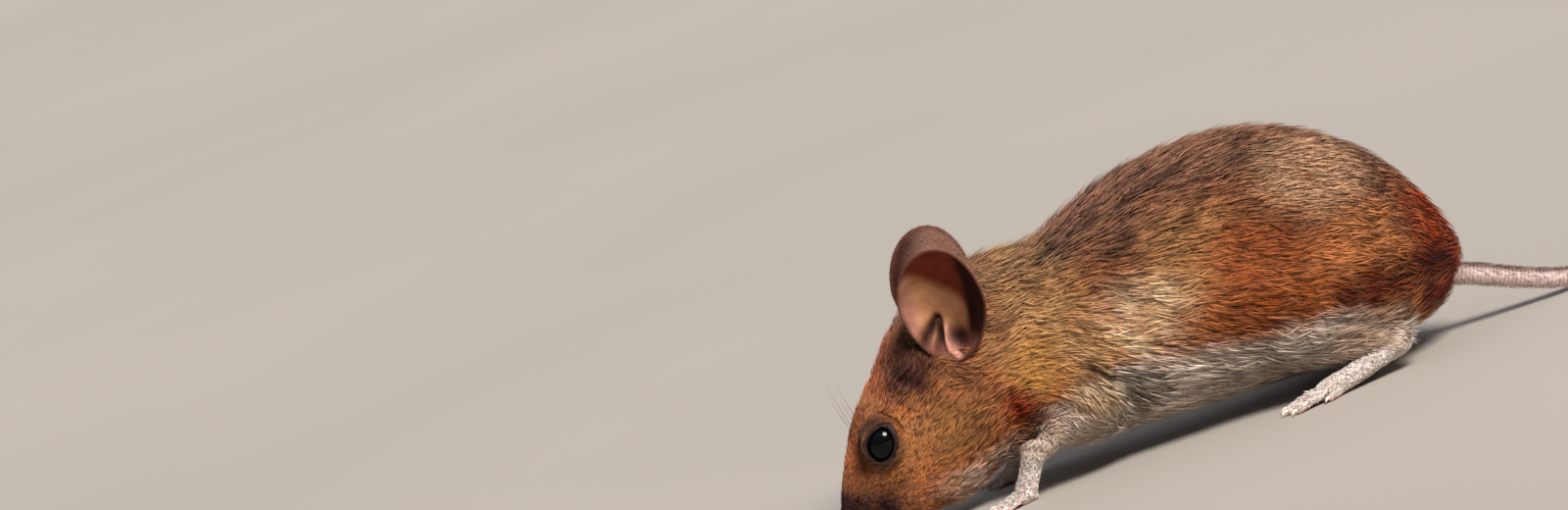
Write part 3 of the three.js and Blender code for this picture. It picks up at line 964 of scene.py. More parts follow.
@dataclass(frozen=True)
class EarTones:
    """The colours of the ears' skin: pink and thin in the middle, dark at the rim, with painted shade in the
    folds, the top and rear of the dish and the front of the back.
    """

    ear: EarForm
    inner: str = "#bd8a62"
    outer: str = "#7a5a4d"

    def colour(self, across: Array, up: Array, inside: Array) -> Array:
        """The ear's colour.

        Args:
            across: From -1 at the front edge to 1 at the rear.
            up: From -1 at the foot to 1 at the top.
            inside: 1 on the inner face and 0 on the outer.

        Returns:
            Linear red, green and blue, one row for each point.
        """
        share = np.hypot(across, up)
        lit = inside > 0.5
        ridge, canal = (self.ear.from_line(across, up, line) for line in (self.ear.ridge, self.ear.canal))
        layers = (
            ("#a97a6a", ease(-across, 0.55, 0.9) * lit),  # the front wall, darker and pinker
            ("#7f3520", ease(up + 0.6 * across, -0.02, 0.28) * lit),  # the top of the dish, red-brown, darkened with painted shade
            ("#280704", ease(across, 0.26, 0.52) * ease(up, -0.95, -0.7) * lit),  # painted shade on the rear wall
            ("#8a574c", ease(-up, 0.5, 0.75) * lit),  # folded foot
            # painted shade in the canal
            ("#1c0503", bell(canal, 0.12) * lit),
            # painted shade in the hollow behind the ridge
            ("#260a08", bell(self.ear.from_hollow(across, up), 0.24) * lit),
            ("#d9a08f", bell(ridge, 0.07) * lit),
            ("#3d2019", ease(share, 0.55, 0.95) * ease(-across, -0.2, 0.6) * (1 - lit)),  # painted shade on the front part of its back
            ("#5e392d", ease(share, 0.94, 0.99) * 0.85),  # the rim
        )
        out = np.tile(hex_to_linear(self.outer), (len(across), 1)) * (1 - lit[:, None])
        out = out + hex_to_linear(self.inner) * lit[:, None]
        for colour, part in layers:
            out = out * (1 - part[:, None]) + hex_to_linear(colour) * part[:, None]
        return out


@dataclass(frozen=True)
class Pelage:
    """The colours of the coat, which the skin under it carries too, with painted shade and sheen in places.
    """

    form: MouseForm

    back = "#7d5746"
    upper_flank = "#94603f"
    flank = "#ac6a3d"
    belly = "#c3b3a5"
    feet = "#e4dcd8"
    eye_ring = "#24110a"
    # The heights of the belly's upper edge and of the back, from nose to rump.
    belly_edge = ((-40, -3), (-30, -0.5), (-24, 1.5), (-18, 4.5), (-12, 8.0), (-5, 11.5), (3, 12.5))
    belly_edge += ((8, 11.4), (20, 10.8), (30, 9.6), (34, 8.0), (38, 4.5), (42, 3))
    back_line = ((-14, 27), (0, 29), (15, 33), (25, 32), (40, 24), (46, 16))
    markings = (
        Marking((22, 3, 34), (16, 11, 5), "#8b624b", 0.8),  # painted sheen, paler along the top of the back
        Marking((8, 8, 28.5), (9, 9, 5.5), "#8a6048", 0.7),  # behind the shoulders
        Marking((13.5, 10, 25), (7.5, 9, 3.6), "#ab7d50", 0.6),
        Marking((-3, 8, 27), (2.6, 8, 1.9), "#43352c", 0.85),  # a dark patch in the nape
        Marking((31, 8, 26), (9, 9, 7), "#cca380", 0.9),  # painted sheen, paler above the haunch
        Marking((25.5, 14, 20.5), (4.5, 9, 4.5), "#753f25", 0.75),
        Marking((20, 14, 20), (7, 9, 6), "#a0552a", 0.7),
        Marking((21, 14, 13), (11, 9, 4), "#8b471b", 0.9),  # rusty lower flank
        Marking((35, 14, 17), (7, 9, 6.5), "#bd7b4a", 0.85),
        Marking((43.5, 4, 14), (6, 12, 10), "#9a3a10", 1.0),  # red rump
        Marking((41, 7, 9), (7.5, 12, 4.8), "#561a09", 1.0),
        Marking((31, 11, 6.5), (7, 9, 4), "#a48872", 0.8),
        Marking((41, 0, 4.5), (5, 4.5, 3), "#a3978a", 0.9),  # grey under the tail
        Marking((10, 13, 20.5), (6.5, 9, 5), "#b58556", 0.7),
        Marking((4.5, 13, 17.5), (8, 9, 6.2), "#d3b896", 0.9),  # pale behind the shoulder
        Marking((5, 11, 8.5), (9, 9, 5), "#d8c8b9", 0.9),  # grey side of the chest
        Marking((-3.5, 11, 10), (4.5, 9, 4), "#c3a681", 0.9),
        Marking((-8, 10, 22), (9, 10, 9.5), "#c19566", 0.85),  # golden shoulder
        Marking((-3, 12, 15.5), (5, 9, 4.5), "#bd9468", 0.8),
        Marking((-9.5, 10, 16), (5, 9, 5), "#ba8a4a", 0.85),
        Marking((-8, 4, 29.5), (7, 6, 4.5), "#ae875a", 0.8),  # golden nape
        Marking((-13.2, 9, 12), (3.4, 5, 3.2), "#8c2f12", 1.0),  # red fleck above the paw
        Marking((-18, 0, 23), (8, 6, 7), "#784630", 0.8),  # crown
        Marking((-28, 2, 21), (5.5, 5, 5), "#8e4d2f", 0.9),  # forehead
        Marking((-34, 1.5, 13), (4.5, 4, 6), "#6d3514", 0.9),  # bridge of the nose
        Marking((-22.5, 8, 11.5), (8, 6, 6), "#8e5f33", 0.95),  # cheek
        Marking((-18, 9, 15), (4, 6, 4), "#815332", 0.8),
        Marking((-24.8, 6, 20), (4.6, 5, 5), "#33100a", 1.0),  # painted shadow of the ear's foot, between eye and ear
        Marking((-30, 6, 16), (2.5, 3, 2.5), "#6a3b1f", 0.7),
        Marking((-31, 5.5, 8), (3.5, 3, 2.5), "#7e4d24", 0.9),  # warm under the eye
        Marking((-36.5, 2, 4.2), (9, 7, 5.8), "#2f0d07", 1.0),  # dark muzzle
        Marking((-39, 0, 3), (2.4, 2.4, 2.4), "#94594e", 1.0),  # nose
        Marking((-9.5, 9.5, 7.5), (4.5, 4, 3), "#c6ae9c", 0.8),  # forearm
        # painted shade under the red fur above the paw
        Marking((-10.5, 9, 10), (3, 5, 2), "#5a2f1e", 0.8),
        Marking((-12.2, 9, 22), (2.4, 5, 2.2), "#573724", 0.85),  # painted shadow behind the foot of the ear
        # painted shade in the gap between haunch and flank
        Marking((33.5, 13, 11.8), (7, 9, 3.4), "#602409", 0.9),
        Marking((-21.5, 5, 3.8), (6.5, 6, 3.2), "#b59a86", 0.9),  # grey jaw
        Marking((-17, 5, 5.5), (4.5, 6, 3), "#c9b1a2", 0.9),  # pale throat
        Marking((-30, 0, 0), (8, 3.5, 2), "#a8968a", 0.8),  # pale chin
        Marking((-14, 3, 6), (5, 6, 4), "#c8b6aa", 0.9),
    )
    # Lines where the coat creases behind the elbow, seen from the side, which are darkened with painted
    # shade.
    creases = (
        ((-4.0, 14.1), (-2.5, 12.9), (-0.9, 11.2)),
        ((-0.2, 12.1), (0.8, 10.3), (1.0, 8.0), (0.6, 5.9)),
        ((1.2, 12.4), (2.5, 10.4), (2.5, 8.1), (2.1, 5.6)),
        ((3.7, 11.4), (4.6, 9.5), (5.0, 7.4)),
    )

    def from_crease(self, p: Array) -> Array:
        """How far points are, seen from the side, from the creases behind the elbow, in mm."""
        return np.minimum.reduce([EAR.from_line(p[:, 0], p[:, 2], line) for line in self.creases])

    def colour(self, p: Array) -> Array:
        """The coat's colour at points on the skin.

        Args:
            p: Points, one in each row.

        Returns:
            Linear red, green and blue, one row for each point.
        """
        wander = ripples(p, 5.0, 11)
        height = p[:, 2] + 1.2 * wander
        edge = ramp(p[:, 0], *self.belly_edge)
        colours = [hex_to_linear(c) for c in (self.belly, self.flank, self.upper_flank, self.back)]
        top = ramp(p[:, 0], *self.back_line)
        out = np.tile(colours[0], (len(p), 1))
        for colour, low, high in (
            (colours[1], edge - 0.9, edge + 0.9),
            (colours[2], top - 12.0, top - 6.0),
            (colours[3], top - 5.5, top - 1.0),
        ):
            share = ease((height - low) / (high - low), 0, 1)[:, None]
            out = out * (1 - share) + colour * share
        for marking in self.markings:
            share = np.clip(marking.share(p) * (1 + 0.35 * ripples(p, 2.6, 23)), 0, 1)[:, None]
            out = out * (1 - share) + hex_to_linear(marking.colour) * share
        # Grizzled back: dark flecks where the guard hairs bunch.
        fleck = ease(ripples(p, 1.5, 71), 0.3, 1.0) * ease(p[:, 2] - top, -13, -4)
        fleck = fleck * (1 - ease(p[:, 0], 16, 30))
        out = out * (1 - 0.62 * fleck * ease(p[:, 0], -9, -4))[:, None]
        # Painted shade in the creases behind the elbow.
        crease_shade = bell(self.from_crease(p), 0.5) * ease(np.abs(p[:, 1]), 4, 7)
        out = out * (1 - 0.8 * crease_shade)[:, None]
        ring = 0.95 * (1 - ease(self.form.from_eye(p), EYE_RADIUS + 0.4, EYE_RADIUS + 1.3))[:, None]
        out = out * (1 - ring) + hex_to_linear(self.eye_ring) * ring
        foot = self.form.foot_share(p)[:, None]
        out = out * (1 + 0.1 * ripples(p, 3.2, 5))[:, None]
        return out * (1 - foot) + hex_to_linear(self.feet) * foot


# ---------------------------------------------------------------- finishes

Tree = bpy.types.NodeTree
Socket = bpy.types.NodeSocket
Inputs = dict[str | int, object]


def node(tree: Tree, kind: str, inputs: Inputs | None = None, **settings: object) -> bpy.types.Node:
    """Adds a node with its settings, values and links.

    Args:
        tree: The material's node tree.
        kind: The node's type, without ShaderNode.
        inputs: For each input, a value or the output that feeds it.
        settings: Other properties of the node.

    Returns:
        The node.
    """
    made = tree.nodes.new("ShaderNode" + kind)
    for name, value in settings.items():
        setattr(made, name, value)
    for name, value in (inputs or {}).items():
        if isinstance(value, Socket):
            tree.links.new(value, made.inputs[name])
        else:
            made.inputs[name].default_value = value
    return made


def stored(tree: Tree, name: str, output: str = "Fac") -> Socket:
    """Reads what the mesh holds at its points: Fac for a number, and Color for a colour."""
    return node(tree, "Attribute", attribute_name=name).outputs[output]


def noise(tree: Tree, scale: float, detail: float) -> Socket:
    """Solid noise through the piece.

    Args:
        tree: The material's node tree.
        scale: How many ripples are in a metre.
        detail: How many finer layers it has.

    Returns:
        The noise.
    """
    place = node(tree, "TexCoord").outputs["Object"]
    return node(tree, "TexNoise", {"Vector": place, "Scale": scale, "Detail": detail}).outputs["Fac"]


def colour_ramp(tree: Tree, factor: object, *stops: tuple[float, str]) -> Socket:
    """A colour ramp.

    Args:
        tree: The material's node tree.
        factor: What runs along the ramp.
        stops: Places from 0 to 1, each with a hex colour.

    Returns:
        The ramp's colour output.
    """
    made = node(tree, "ValToRGB", {"Fac": factor})
    elements = made.color_ramp.elements
    while len(elements) < len(stops):
        elements.new(0.5)
    for element, (place, colour) in zip(elements, stops):
        element.position = place
        element.color = rgba(colour)
    return made.outputs["Color"]


class Tint(Enum):
    """How a node lays one colour on another."""

    OVER = "MIX"
    TIMES = "MULTIPLY"


def tinted(tree: Tree, way: Tint, share: object, below: object, above: object) -> Socket:
    """Lays one colour on another.

    Args:
        tree: The material's node tree.
        way: How they mix.
        share: How much of the upper one shows, a number or a socket.
        below: The lower colour.
        above: The upper colour.

    Returns:
        The mixed colour.
    """
    made = node(tree, "Mix", {0: share, 6: below, 7: above}, data_type="RGBA", blend_type=way.value)
    return made.outputs[2]


def shaded(tree: Tree, colour: object, factor: Socket, *stops: tuple[float, str]) -> Socket:
    """A colour times a colour ramp.

    Args:
        tree: The material's node tree.
        colour: The colour.
        factor: What runs along the ramp.
        stops: The ramp's places from 0 to 1, each with a hex colour.

    Returns:
        The darker colour.
    """
    return tinted(tree, Tint.TIMES, 1.0, colour, colour_ramp(tree, factor, *stops))


def bump(tree: Tree, height: Socket, strength: float, distance: float) -> Socket:
    """A fine relief.

    Args:
        tree: The material's node tree.
        height: What raises the surface.
        strength: How strongly, from 0 to 1.
        distance: How high, in metres.

    Returns:
        The normals.
    """
    return node(tree, "Bump", {"Height": height, "Strength": strength, "Distance": distance}).outputs[0]


class Finish:
    """A procedural material. Each kind of surface says what feeds its one shader."""

    name = ""

    def inputs(self, tree: Tree) -> Inputs:
        """What feeds the shader."""
        raise NotImplementedError

    def make(self) -> bpy.types.Material:
        """The material, a principled shader with its inputs."""
        material = bpy.data.materials.new(self.name)
        material.use_nodes = True
        tree = material.node_tree
        tree.nodes.clear()
        shader = node(tree, "BsdfPrincipled", self.inputs(tree))
        node(tree, "OutputMaterial", {"Surface": shader.outputs[0]})
        return material


@dataclass(frozen=True)
class CoatFinish(Finish):
    """Mouse fur: dark at the root, coloured in the middle, and black-tipped in the guard hairs.

    Keratin's IOR of 1.55 and its fine scales give a soft, broad shine along each hair.
    """

    roughness: float = 0.6
    shine: float = 0.22
    lift: float = 1.35  # makes up for the light that is lost among the hairs
    guard_tip: str = "#1f140e"

    name = "fur"

    def inputs(self, tree: Tree) -> Inputs:
        """What feeds the shader."""
        along, seed, guard = (stored(tree, name) for name in ("along", "seed", "guard"))
        bands = ((0.0, "#8c8888"), (0.3, "#dedad6"), (0.6, "#ffffff"), (1.0, "#f4efea"))
        colour = shaded(tree, stored(tree, "pelage", "Color"), along, *bands)
        colour = shaded(tree, colour, seed, (0.0, "#b8b0aa"), (0.35, "#e2dedb"), (0.75, "#ffffff"))
        swing = node(tree, "MapRange", {"Value": seed, "To Min": 0.92, "To Max": 1.05}).outputs[0]
        lifted = {"Saturation": swing, "Value": self.lift, "Color": colour}
        colour = node(tree, "HueSaturation", lifted).outputs[0]
        tip = node(tree, "MapRange", {"Value": along, "From Min": 0.15, "From Max": 0.8}).outputs[0]
        dark = node(tree, "Math", {0: tip, 1: guard}, operation="MULTIPLY").outputs[0]
        return {
            "Base Color": tinted(tree, Tint.OVER, dark, colour, rgba(self.guard_tip)),
            "Roughness": self.roughness,
            "Specular IOR Level": self.shine,
            "IOR": 1.55,
        }


@dataclass(frozen=True)
class SkinFinish(Finish):
    """Skin under the coat, and bare on nose, lids and feet: thin, faintly creased, and soft to light."""

    bare: str = "#e3cbc4"
    rims: str = "#1d0f0c"
    pores: float = 4000.0  # and down, in a metre

    name = "skin"

    def inputs(self, tree: Tree) -> Inputs:
        """What feeds the shader."""
        down, mottle = noise(tree, self.pores, 3.0), noise(tree, 900.0, 4.0)
        under = shaded(tree, stored(tree, "pelage", "Color"), down, (0.3, "#8a8480"), (0.7, "#d8d2cc"))
        pink = shaded(tree, rgba(self.bare), mottle, (0.3, "#e2c9c2"), (0.7, "#ffffff"))
        colour = tinted(tree, Tint.OVER, stored(tree, "bare"), under, pink)
        return {
            # Dark lid rims, and painted shade in the nostrils, the cleft of the lip and the line between the
            # lips.
            "Base Color": tinted(tree, Tint.OVER, stored(tree, "rims"), colour, rgba(self.rims)),
            "Roughness": 0.62,
            "Specular IOR Level": 0.4,
            "IOR": 1.4,
            "Subsurface Weight": 0.12,
            "Subsurface Radius": (1.0, 0.35, 0.25),
            "Subsurface Scale": 0.0004,
            "Normal": bump(tree, down, 0.5, 0.00008),
        }


@dataclass(frozen=True)
class EarFinish(Finish):
    """Ear skin: two thin layers over cartilage, nearly bare, brown and downy outside and pink inside."""

    roughness: float = 0.65
    shine: float = 0.2

    name = "ear skin"

    def inputs(self, tree: Tree) -> Inputs:
        """What feeds the shader."""
        mottle, down = noise(tree, 500.0, 5.0), noise(tree, 5000.0, 2.0)
        tone = stored(tree, "pelage", "Color")
        return {
            "Base Color": shaded(tree, tone, mottle, (0.3, "#d6c3bb"), (0.7, "#ffffff")),
            "Roughness": self.roughness,
            "Specular IOR Level": self.shine,
            "IOR": 1.4,
            "Subsurface Weight": 0.08,
            "Subsurface Radius": (1.0, 0.3, 0.2),
            "Subsurface Scale": 0.0004,
            "Normal": bump(tree, down, 0.4, 0.00005),
        }


@dataclass(frozen=True)
class TailFinish(Finish):
    """Tail skin: rings of small scales, dark along the top and pinkish grey below, satin."""

    above: str = "#7c615c"
    below: str = "#d6c0bc"

    name = "tail skin"

    def inputs(self, tree: Tree) -> Inputs:
        """What feeds the shader."""
        mottle = noise(tree, 1200.0, 3.0)
        colour = tinted(tree, Tint.OVER, stored(tree, "top"), rgba(self.below), rgba(self.above))
        colour = shaded(tree, colour, stored(tree, "ring"), (0.0, "#dcd2d0"), (0.6, "#ffffff"))
        return {
            "Base Color": shaded(tree, colour, mottle, (0.3, "#d2c4c0"), (0.7, "#ffffff")),
            "Roughness": 0.5,
            "Specular IOR Level": 0.45,
            "IOR": 1.45,
            "Normal": bump(tree, mottle, 0.4, 0.00008),
        }


@dataclass(frozen=True)
class EyeFinish(Finish):
    """A wet cornea over a black iris and pupil: black through and mirror smooth, brown at the lids."""

    pupil: str = "#030304"
    edge: str = "#1a0f0a"

    name = "eye"

    def inputs(self, tree: Tree) -> Inputs:
        """What feeds the shader."""
        stops = ((0.0, self.pupil), (0.65, self.pupil), (1.0, self.edge))
        return {
            "Base Color": colour_ramp(tree, stored(tree, "turn"), *stops),
            "Roughness": 0.04,
            "IOR": 1.376,
            "Specular IOR Level": 0.3,
        }


@dataclass(frozen=True)
class HornFinish(Finish):
    """Claw horn: thin keratin, cloudy and pale, with a smooth worn shine."""

    colour: str = "#d9c2ae"
    tip: str = "#efe4d8"

    name = "claw horn"

    def inputs(self, tree: Tree) -> Inputs:
        """What feeds the shader."""
        return {
            "Base Color": colour_ramp(tree, stored(tree, "along"), (0.0, self.colour), (1.0, self.tip)),
            "Roughness": 0.3,
            "IOR": 1.55,
            "Subsurface Weight": 0.2,
            "Subsurface Scale": 0.0003,
        }


@dataclass(frozen=True)
class WhiskerFinish(Finish):
    """Whiskers: stiff smooth hairs, dark at the root and clear towards the tip."""

    root: str = "#2a1b14"
    tip: str = "#8c7c6e"

    name = "whisker"

    def inputs(self, tree: Tree) -> Inputs:
        """What feeds the shader."""
        colour = colour_ramp(tree, stored(tree, "along"), (0.1, self.root), (0.7, self.tip))
        return {"Base Color": colour, "Roughness": 0.35, "IOR": 1.55}


@dataclass(frozen=True)
class FloorFinish(Finish):
    """A plain pale floor of sealed plaster, with a faint unevenness of tone."""

    colour: str = "#a79f97"

    name = "floor"

    def inputs(self, tree: Tree) -> Inputs:
        """What feeds the shader."""
        colour = shaded(tree, rgba(self.colour), noise(tree, 6.0, 2.0), (0.3, "#f6f6f6"), (0.7, "#ffffff"))
        return {"Base Color": colour, "Roughness": 0.8}


# ---------------------------------------------------------------- skin, ears and tail


class SkinPart(IntEnum):
    """The skin's parts, each with its own finish."""

    BODY = 0
    EAR = 1
    TAIL = 2


@dataclass
class Skin:
    """The one skin of the mouse: body, face, legs and feet, with the ears and the tail grown onto it."""

    form: MouseForm
    pelage: Pelage
    cell: float = 0.25
    ear_rings: int = 26
    ear_sides: int = 96

    def body(self) -> Surface:
        """The skin of all but ears and tail."""
        net = SurfaceNet(self.form.skin, np.array([-41.0, 0, -0.45]), np.array([47.0, 17.5, 36.0]), self.cell)
        surface = net.surface()
        for _ in range(2):
            slope = self.form.slope(self.form.skin, surface.points)
            steep = np.maximum((slope**2).sum(axis=1), 0.25)
            step = self.form.skin(surface.points) / steep
            surface.points -= slope * np.clip(step, -self.cell / 2, self.cell / 2)[:, None]
        surface.points[:, 2] = np.maximum(surface.points[:, 2], 0)
        p = surface.points
        along, above = self.form.head.along_above(p)
        q = on_right(p)
        nose = 1 - ease(np.linalg.norm(q - self.form.head_point(0.4, 0.1), axis=1), 1.3, 1.7)
        # Where the skin is painted dark: shade in the nostrils, the cleft and between the lips, and the real
        # dark rims of the lids.
        nostril_and_cleft_shade = np.maximum(bell(self.form.from_nostril(q), 0.34) * nose, 0.6 * self.form.cleft(q))
        mouth = bell(self.form.from_lips(along, above), 0.3) * (1 - ease(along, 5.5, 7.5))
        reach, _, slit, opening = self.form.eye_slit(q)
        lids = (1 - ease(slit - opening, 0.15, 0.55)) * (1 - ease(reach, EYE_RADIUS + 0.6, EYE_RADIUS + 1.0))
        surface.values = {
            "pelage": self.pelage.colour(p),
            "bare": np.maximum(self.form.foot_share(p), 0.4 * nose),
            "rims": np.maximum.reduce([lids, 0.8 * mouth, nostril_and_cleft_shade]),
        }
        return self.finished(surface, SkinPart.BODY)

    def ear(self) -> Surface:
        """The right ear: an inner face, a round rim and an outer face."""
        angle = np.arange(self.ear_sides) / self.ear_sides * math.tau
        shares = np.linspace(0.02, 1.0, self.ear_rings)
        thick = EAR.thickness
        rows = []
        for share in shares:
            across, up = share * np.cos(angle), share * np.sin(angle)
            rows.append((across, up, EAR.height(across, up), np.full_like(angle, share), 1.0))
        for turn in np.radians((45, 90, 135)):
            share = 1.0 + 0.035 * math.sin(turn)
            across, up = share * np.cos(angle), share * np.sin(angle)
            drop = thick / 2 * (1 - math.cos(turn))
            lift = EAR.height(np.cos(angle), np.sin(angle)) - drop
            rows.append((across, up, lift, np.full_like(angle, share), 1.0 - turn / math.pi))
        for share in shares[::-1]:
            across, up = share * np.cos(angle), share * np.sin(angle)
            stands = np.maximum(EAR.folds(across, up), 0) * (1 - ease(share, 0.86, 1.05))
            plain = EAR.height(across, up) - 0.6 * stands
            rows.append((across, up, plain - thick, np.full_like(angle, share), 0.0))
        points = np.concatenate([EAR.place(a, u, h) for a, u, h, _, _ in rows])
        acrosses, ups = (np.concatenate([row[k] for row in rows]) for k in (0, 1))
        inside = np.concatenate([np.full(len(angle), row[-1]) for row in rows])
        surface = Surface(points, [grid_faces(len(rows), self.ear_sides)[:, ::-1]])
        surface.values = {"pelage": EarTones(EAR).colour(acrosses, ups, inside)}
        # The two faces close over their small middle rings.
        ends = [np.arange(self.ear_sides), np.arange(self.ear_sides)[::-1] + (len(rows) - 1) * self.ear_sides]
        surface.faces += [end[None, ::1] for end in ends]
        return self.finished(surface, SkinPart.EAR)

    @staticmethod
    def finished(surface: Surface, part: SkinPart) -> Surface:
        """Gives a part its finish, and 0 for each value that it leaves out."""
        surface.slots = [np.full(len(f), int(part)) for f in surface.faces]
        for name in ("bare", "rims", "top", "ring"):
            surface.values.setdefault(name, np.zeros(len(surface.points)))
        surface.values = dict(sorted(surface.values.items()))
        return surface


@dataclass
class Tail:
    """The tail: about 170 rings of scales from the rump to the tip, laid on the floor in one long bend."""

    points: tuple[Point, ...] = (
        (41.5, 0, 8.4),
        (47, 0.2, 6.1),
        (52, 0.6, 3.8),
        (57, 1.4, 1.9),
        (63, 3, 1),
        (75, 8, 0.9),
        (88, 13.6, 0.74),
        (101, 17.2, 0.6),
        (112, 17.6, 0.5),
        (122, 15.2, 0.38),
    )
    root_radius: float = 1.6
    tip_radius: float = 0.45
    skin_share: float = 0.94  # of the solid tail's radius
    ring_spacing: float = 0.5
    last_ring: float = 0.985  # the share of the length where the tip begins to close
    sides: int = 20
    steps_between: int = 60  # the given points, along their curve
    samples: int = 800  # along the line that places are read from

    def line(self, count: int) -> tuple[Array, float]:
        """Evenly spaced points along the tail's middle.

        Args:
            count: How many points.

        Returns:
            The points, and the tail's length in mm.
        """
        given = np.array(self.points, float)
        given = np.concatenate([[2 * given[0] - given[1]], given, [2 * given[-1] - given[-2]]])
        dense = []
        for p0, p1, p2, p3 in zip(given, given[1:], given[2:], given[3:]):
            gaps = [max(np.linalg.norm(b - a), 1e-6) ** 0.5 for a, b in ((p0, p1), (p1, p2), (p2, p3))]
            t1 = ((p1 - p0) / gaps[0] - (p2 - p0) / (gaps[0] + gaps[1]) + (p2 - p1) / gaps[1]) * gaps[1]
            t2 = ((p2 - p1) / gaps[1] - (p3 - p1) / (gaps[1] + gaps[2]) + (p3 - p2) / gaps[2]) * gaps[1]
            t = np.linspace(0, 1, self.steps_between, endpoint=False)[:, None]
            dense.append(
                (2 * t**3 - 3 * t**2 + 1) * p1
                + (t**3 - 2 * t**2 + t) * t1
                + (3 * t**2 - 2 * t**3) * p2
                + (t**3 - t**2) * t2
            )
        dense = np.concatenate(dense + [given[-2:-1]])
        run = np.concatenate([[0], np.cumsum(np.linalg.norm(np.diff(dense, axis=0), axis=1))])
        even = np.linspace(0, run[-1], count)
        return np.stack([np.interp(even, run, dense[:, k]) for k in range(3)], axis=1), run[-1]

    def radius(self, t: Array) -> Array:
        """The skin's radius at each share of the length, in mm."""
        return (self.root_radius + (self.tip_radius - self.root_radius) * t**0.8) * self.skin_share

    def ring_count(self) -> int:
        """How many rings of scales the tail has."""
        return int(self.line(10)[1] / self.ring_spacing)

    def place(self, t: Array, angle: Array) -> tuple[Array, Array, Array]:
        """Points on the tail's skin.

        Args:
            t: The share of the length from the root.
            angle: Round the tail, from its side over its top.

        Returns:
            The points, the ways out of the skin there, and the ways to the tip.
        """
        line, _ = self.line(self.samples)
        even = np.linspace(0, 1, self.samples)

        def read(values: Array) -> Array:
            """The values at t."""
            return np.stack([np.interp(t, even, values[:, k]) for k in range(3)], axis=1)

        way = unit(read(np.gradient(line, axis=0)))
        across = unit(np.stack([-way[:, 1], way[:, 0], np.zeros(len(t))], axis=1))
        out = across * np.cos(angle)[:, None] + np.cross(way, across) * np.sin(angle)[:, None]
        return read(line) + out * self.radius(t)[:, None], out, way

    def surface(self, pelage: Pelage) -> Surface:
        """The tail's skin, each ring of scales a little step in its radius."""
        steps = 3
        count = self.ring_count() * steps + 1
        line, _ = self.line(count)
        t = np.linspace(0, 1, count)
        phase = np.arange(count) % steps
        radii = self.radius(t) * (1.0 - 0.016 * (phase == 0))
        end = ease(t, self.last_ring, 1.0)
        radii = radii * np.sqrt(np.maximum(1 - end**2, 0.02))
        points, angles, faces = sweep(line, radii, self.sides)
        points[:, 2] = np.maximum(points[:, 2], 0)
        surface = Surface(points, faces)
        per_point = np.concatenate([np.repeat(phase, self.sides), [0, 0]])
        surface.values = {
            "pelage": pelage.colour(points),
            "top": ease(np.sin(angles), 0.35, 0.8),
            "ring": np.where(per_point == 0, 0.0, 1.0),
        }
        return Skin.finished(surface, SkinPart.TAIL)


# ---------------------------------------------------------------- eyes, claws and whiskers


@dataclass
class Eyes:
    """Two large wet black eyes."""

    form: MouseForm
    segments: int = 64

    def surface(self, side: int) -> Surface:
        """One eyeball.

        Args:
            side: -1 for the left and 1 for the right.

        Returns:
            A sphere.
        """
        rows = self.segments // 2
        down = (np.arange(rows + 1) / rows * math.pi)[1:-1]
        round_ = np.arange(self.segments) / self.segments * math.tau
        ring = np.stack([np.cos(round_), np.zeros_like(round_), np.sin(round_)], axis=1)
        points = ring[None] * np.sin(down)[:, None, None] + np.array([0, 1, 0]) * np.cos(down)[:, None, None]
        points = np.concatenate([points.reshape(-1, 3), [[0, 1, 0], [0, -1, 0]]])
        caps = end_caps(len(points) - 2, self.segments)
        centre = self.form.eye_centre() * (1, side, 1)
        turn = np.arccos(np.clip(points @ (self.form.eye_way() * (1, side, 1)), -1, 1)) / (math.pi / 2)
        faces = [grid_faces(rows - 1, self.segments), caps]
        return Surface(points * EYE_RADIUS + centre, faces, {"turn": np.minimum(turn, 1)})


@dataclass
class Claws:
    """A small curved claw on each digit."""

    length: float = 1.05
    root: float = 0.2

    def surface(self, paw: Paw, side: int) -> Surface:
        """The claws of one foot.

        Args:
            paw: Whose digits they are on.
            side: -1 for the left foot and 1 for the right.

        Returns:
            All of its claws.
        """
        made = []
        for _, knuckle, end in paw.lines():
            way = unit((end - knuckle) * (1, 1, 0))
            t = np.linspace(0, 1, 7)
            line = end + np.outer(paw.tip * 0.3 + t * self.length, way)
            line[:, 2] = 0.52 + 0.22 * np.sin(t * math.pi * 0.75) - 0.42 * t**2
            radii = self.root * np.sqrt(np.maximum(1 - t**1.4, 0.004))
            points, _, faces = sweep(line, radii, 8, flat=1.35)
            points[:, 2] = np.maximum(points[:, 2], 0.02)
            along = np.concatenate([np.repeat(t, 8), [0, 1]])
            made.append(Surface(points, faces, {"along": along}))
        whole = reduce(Surface.joined, made)
        return whole if side > 0 else whole.mirrored()


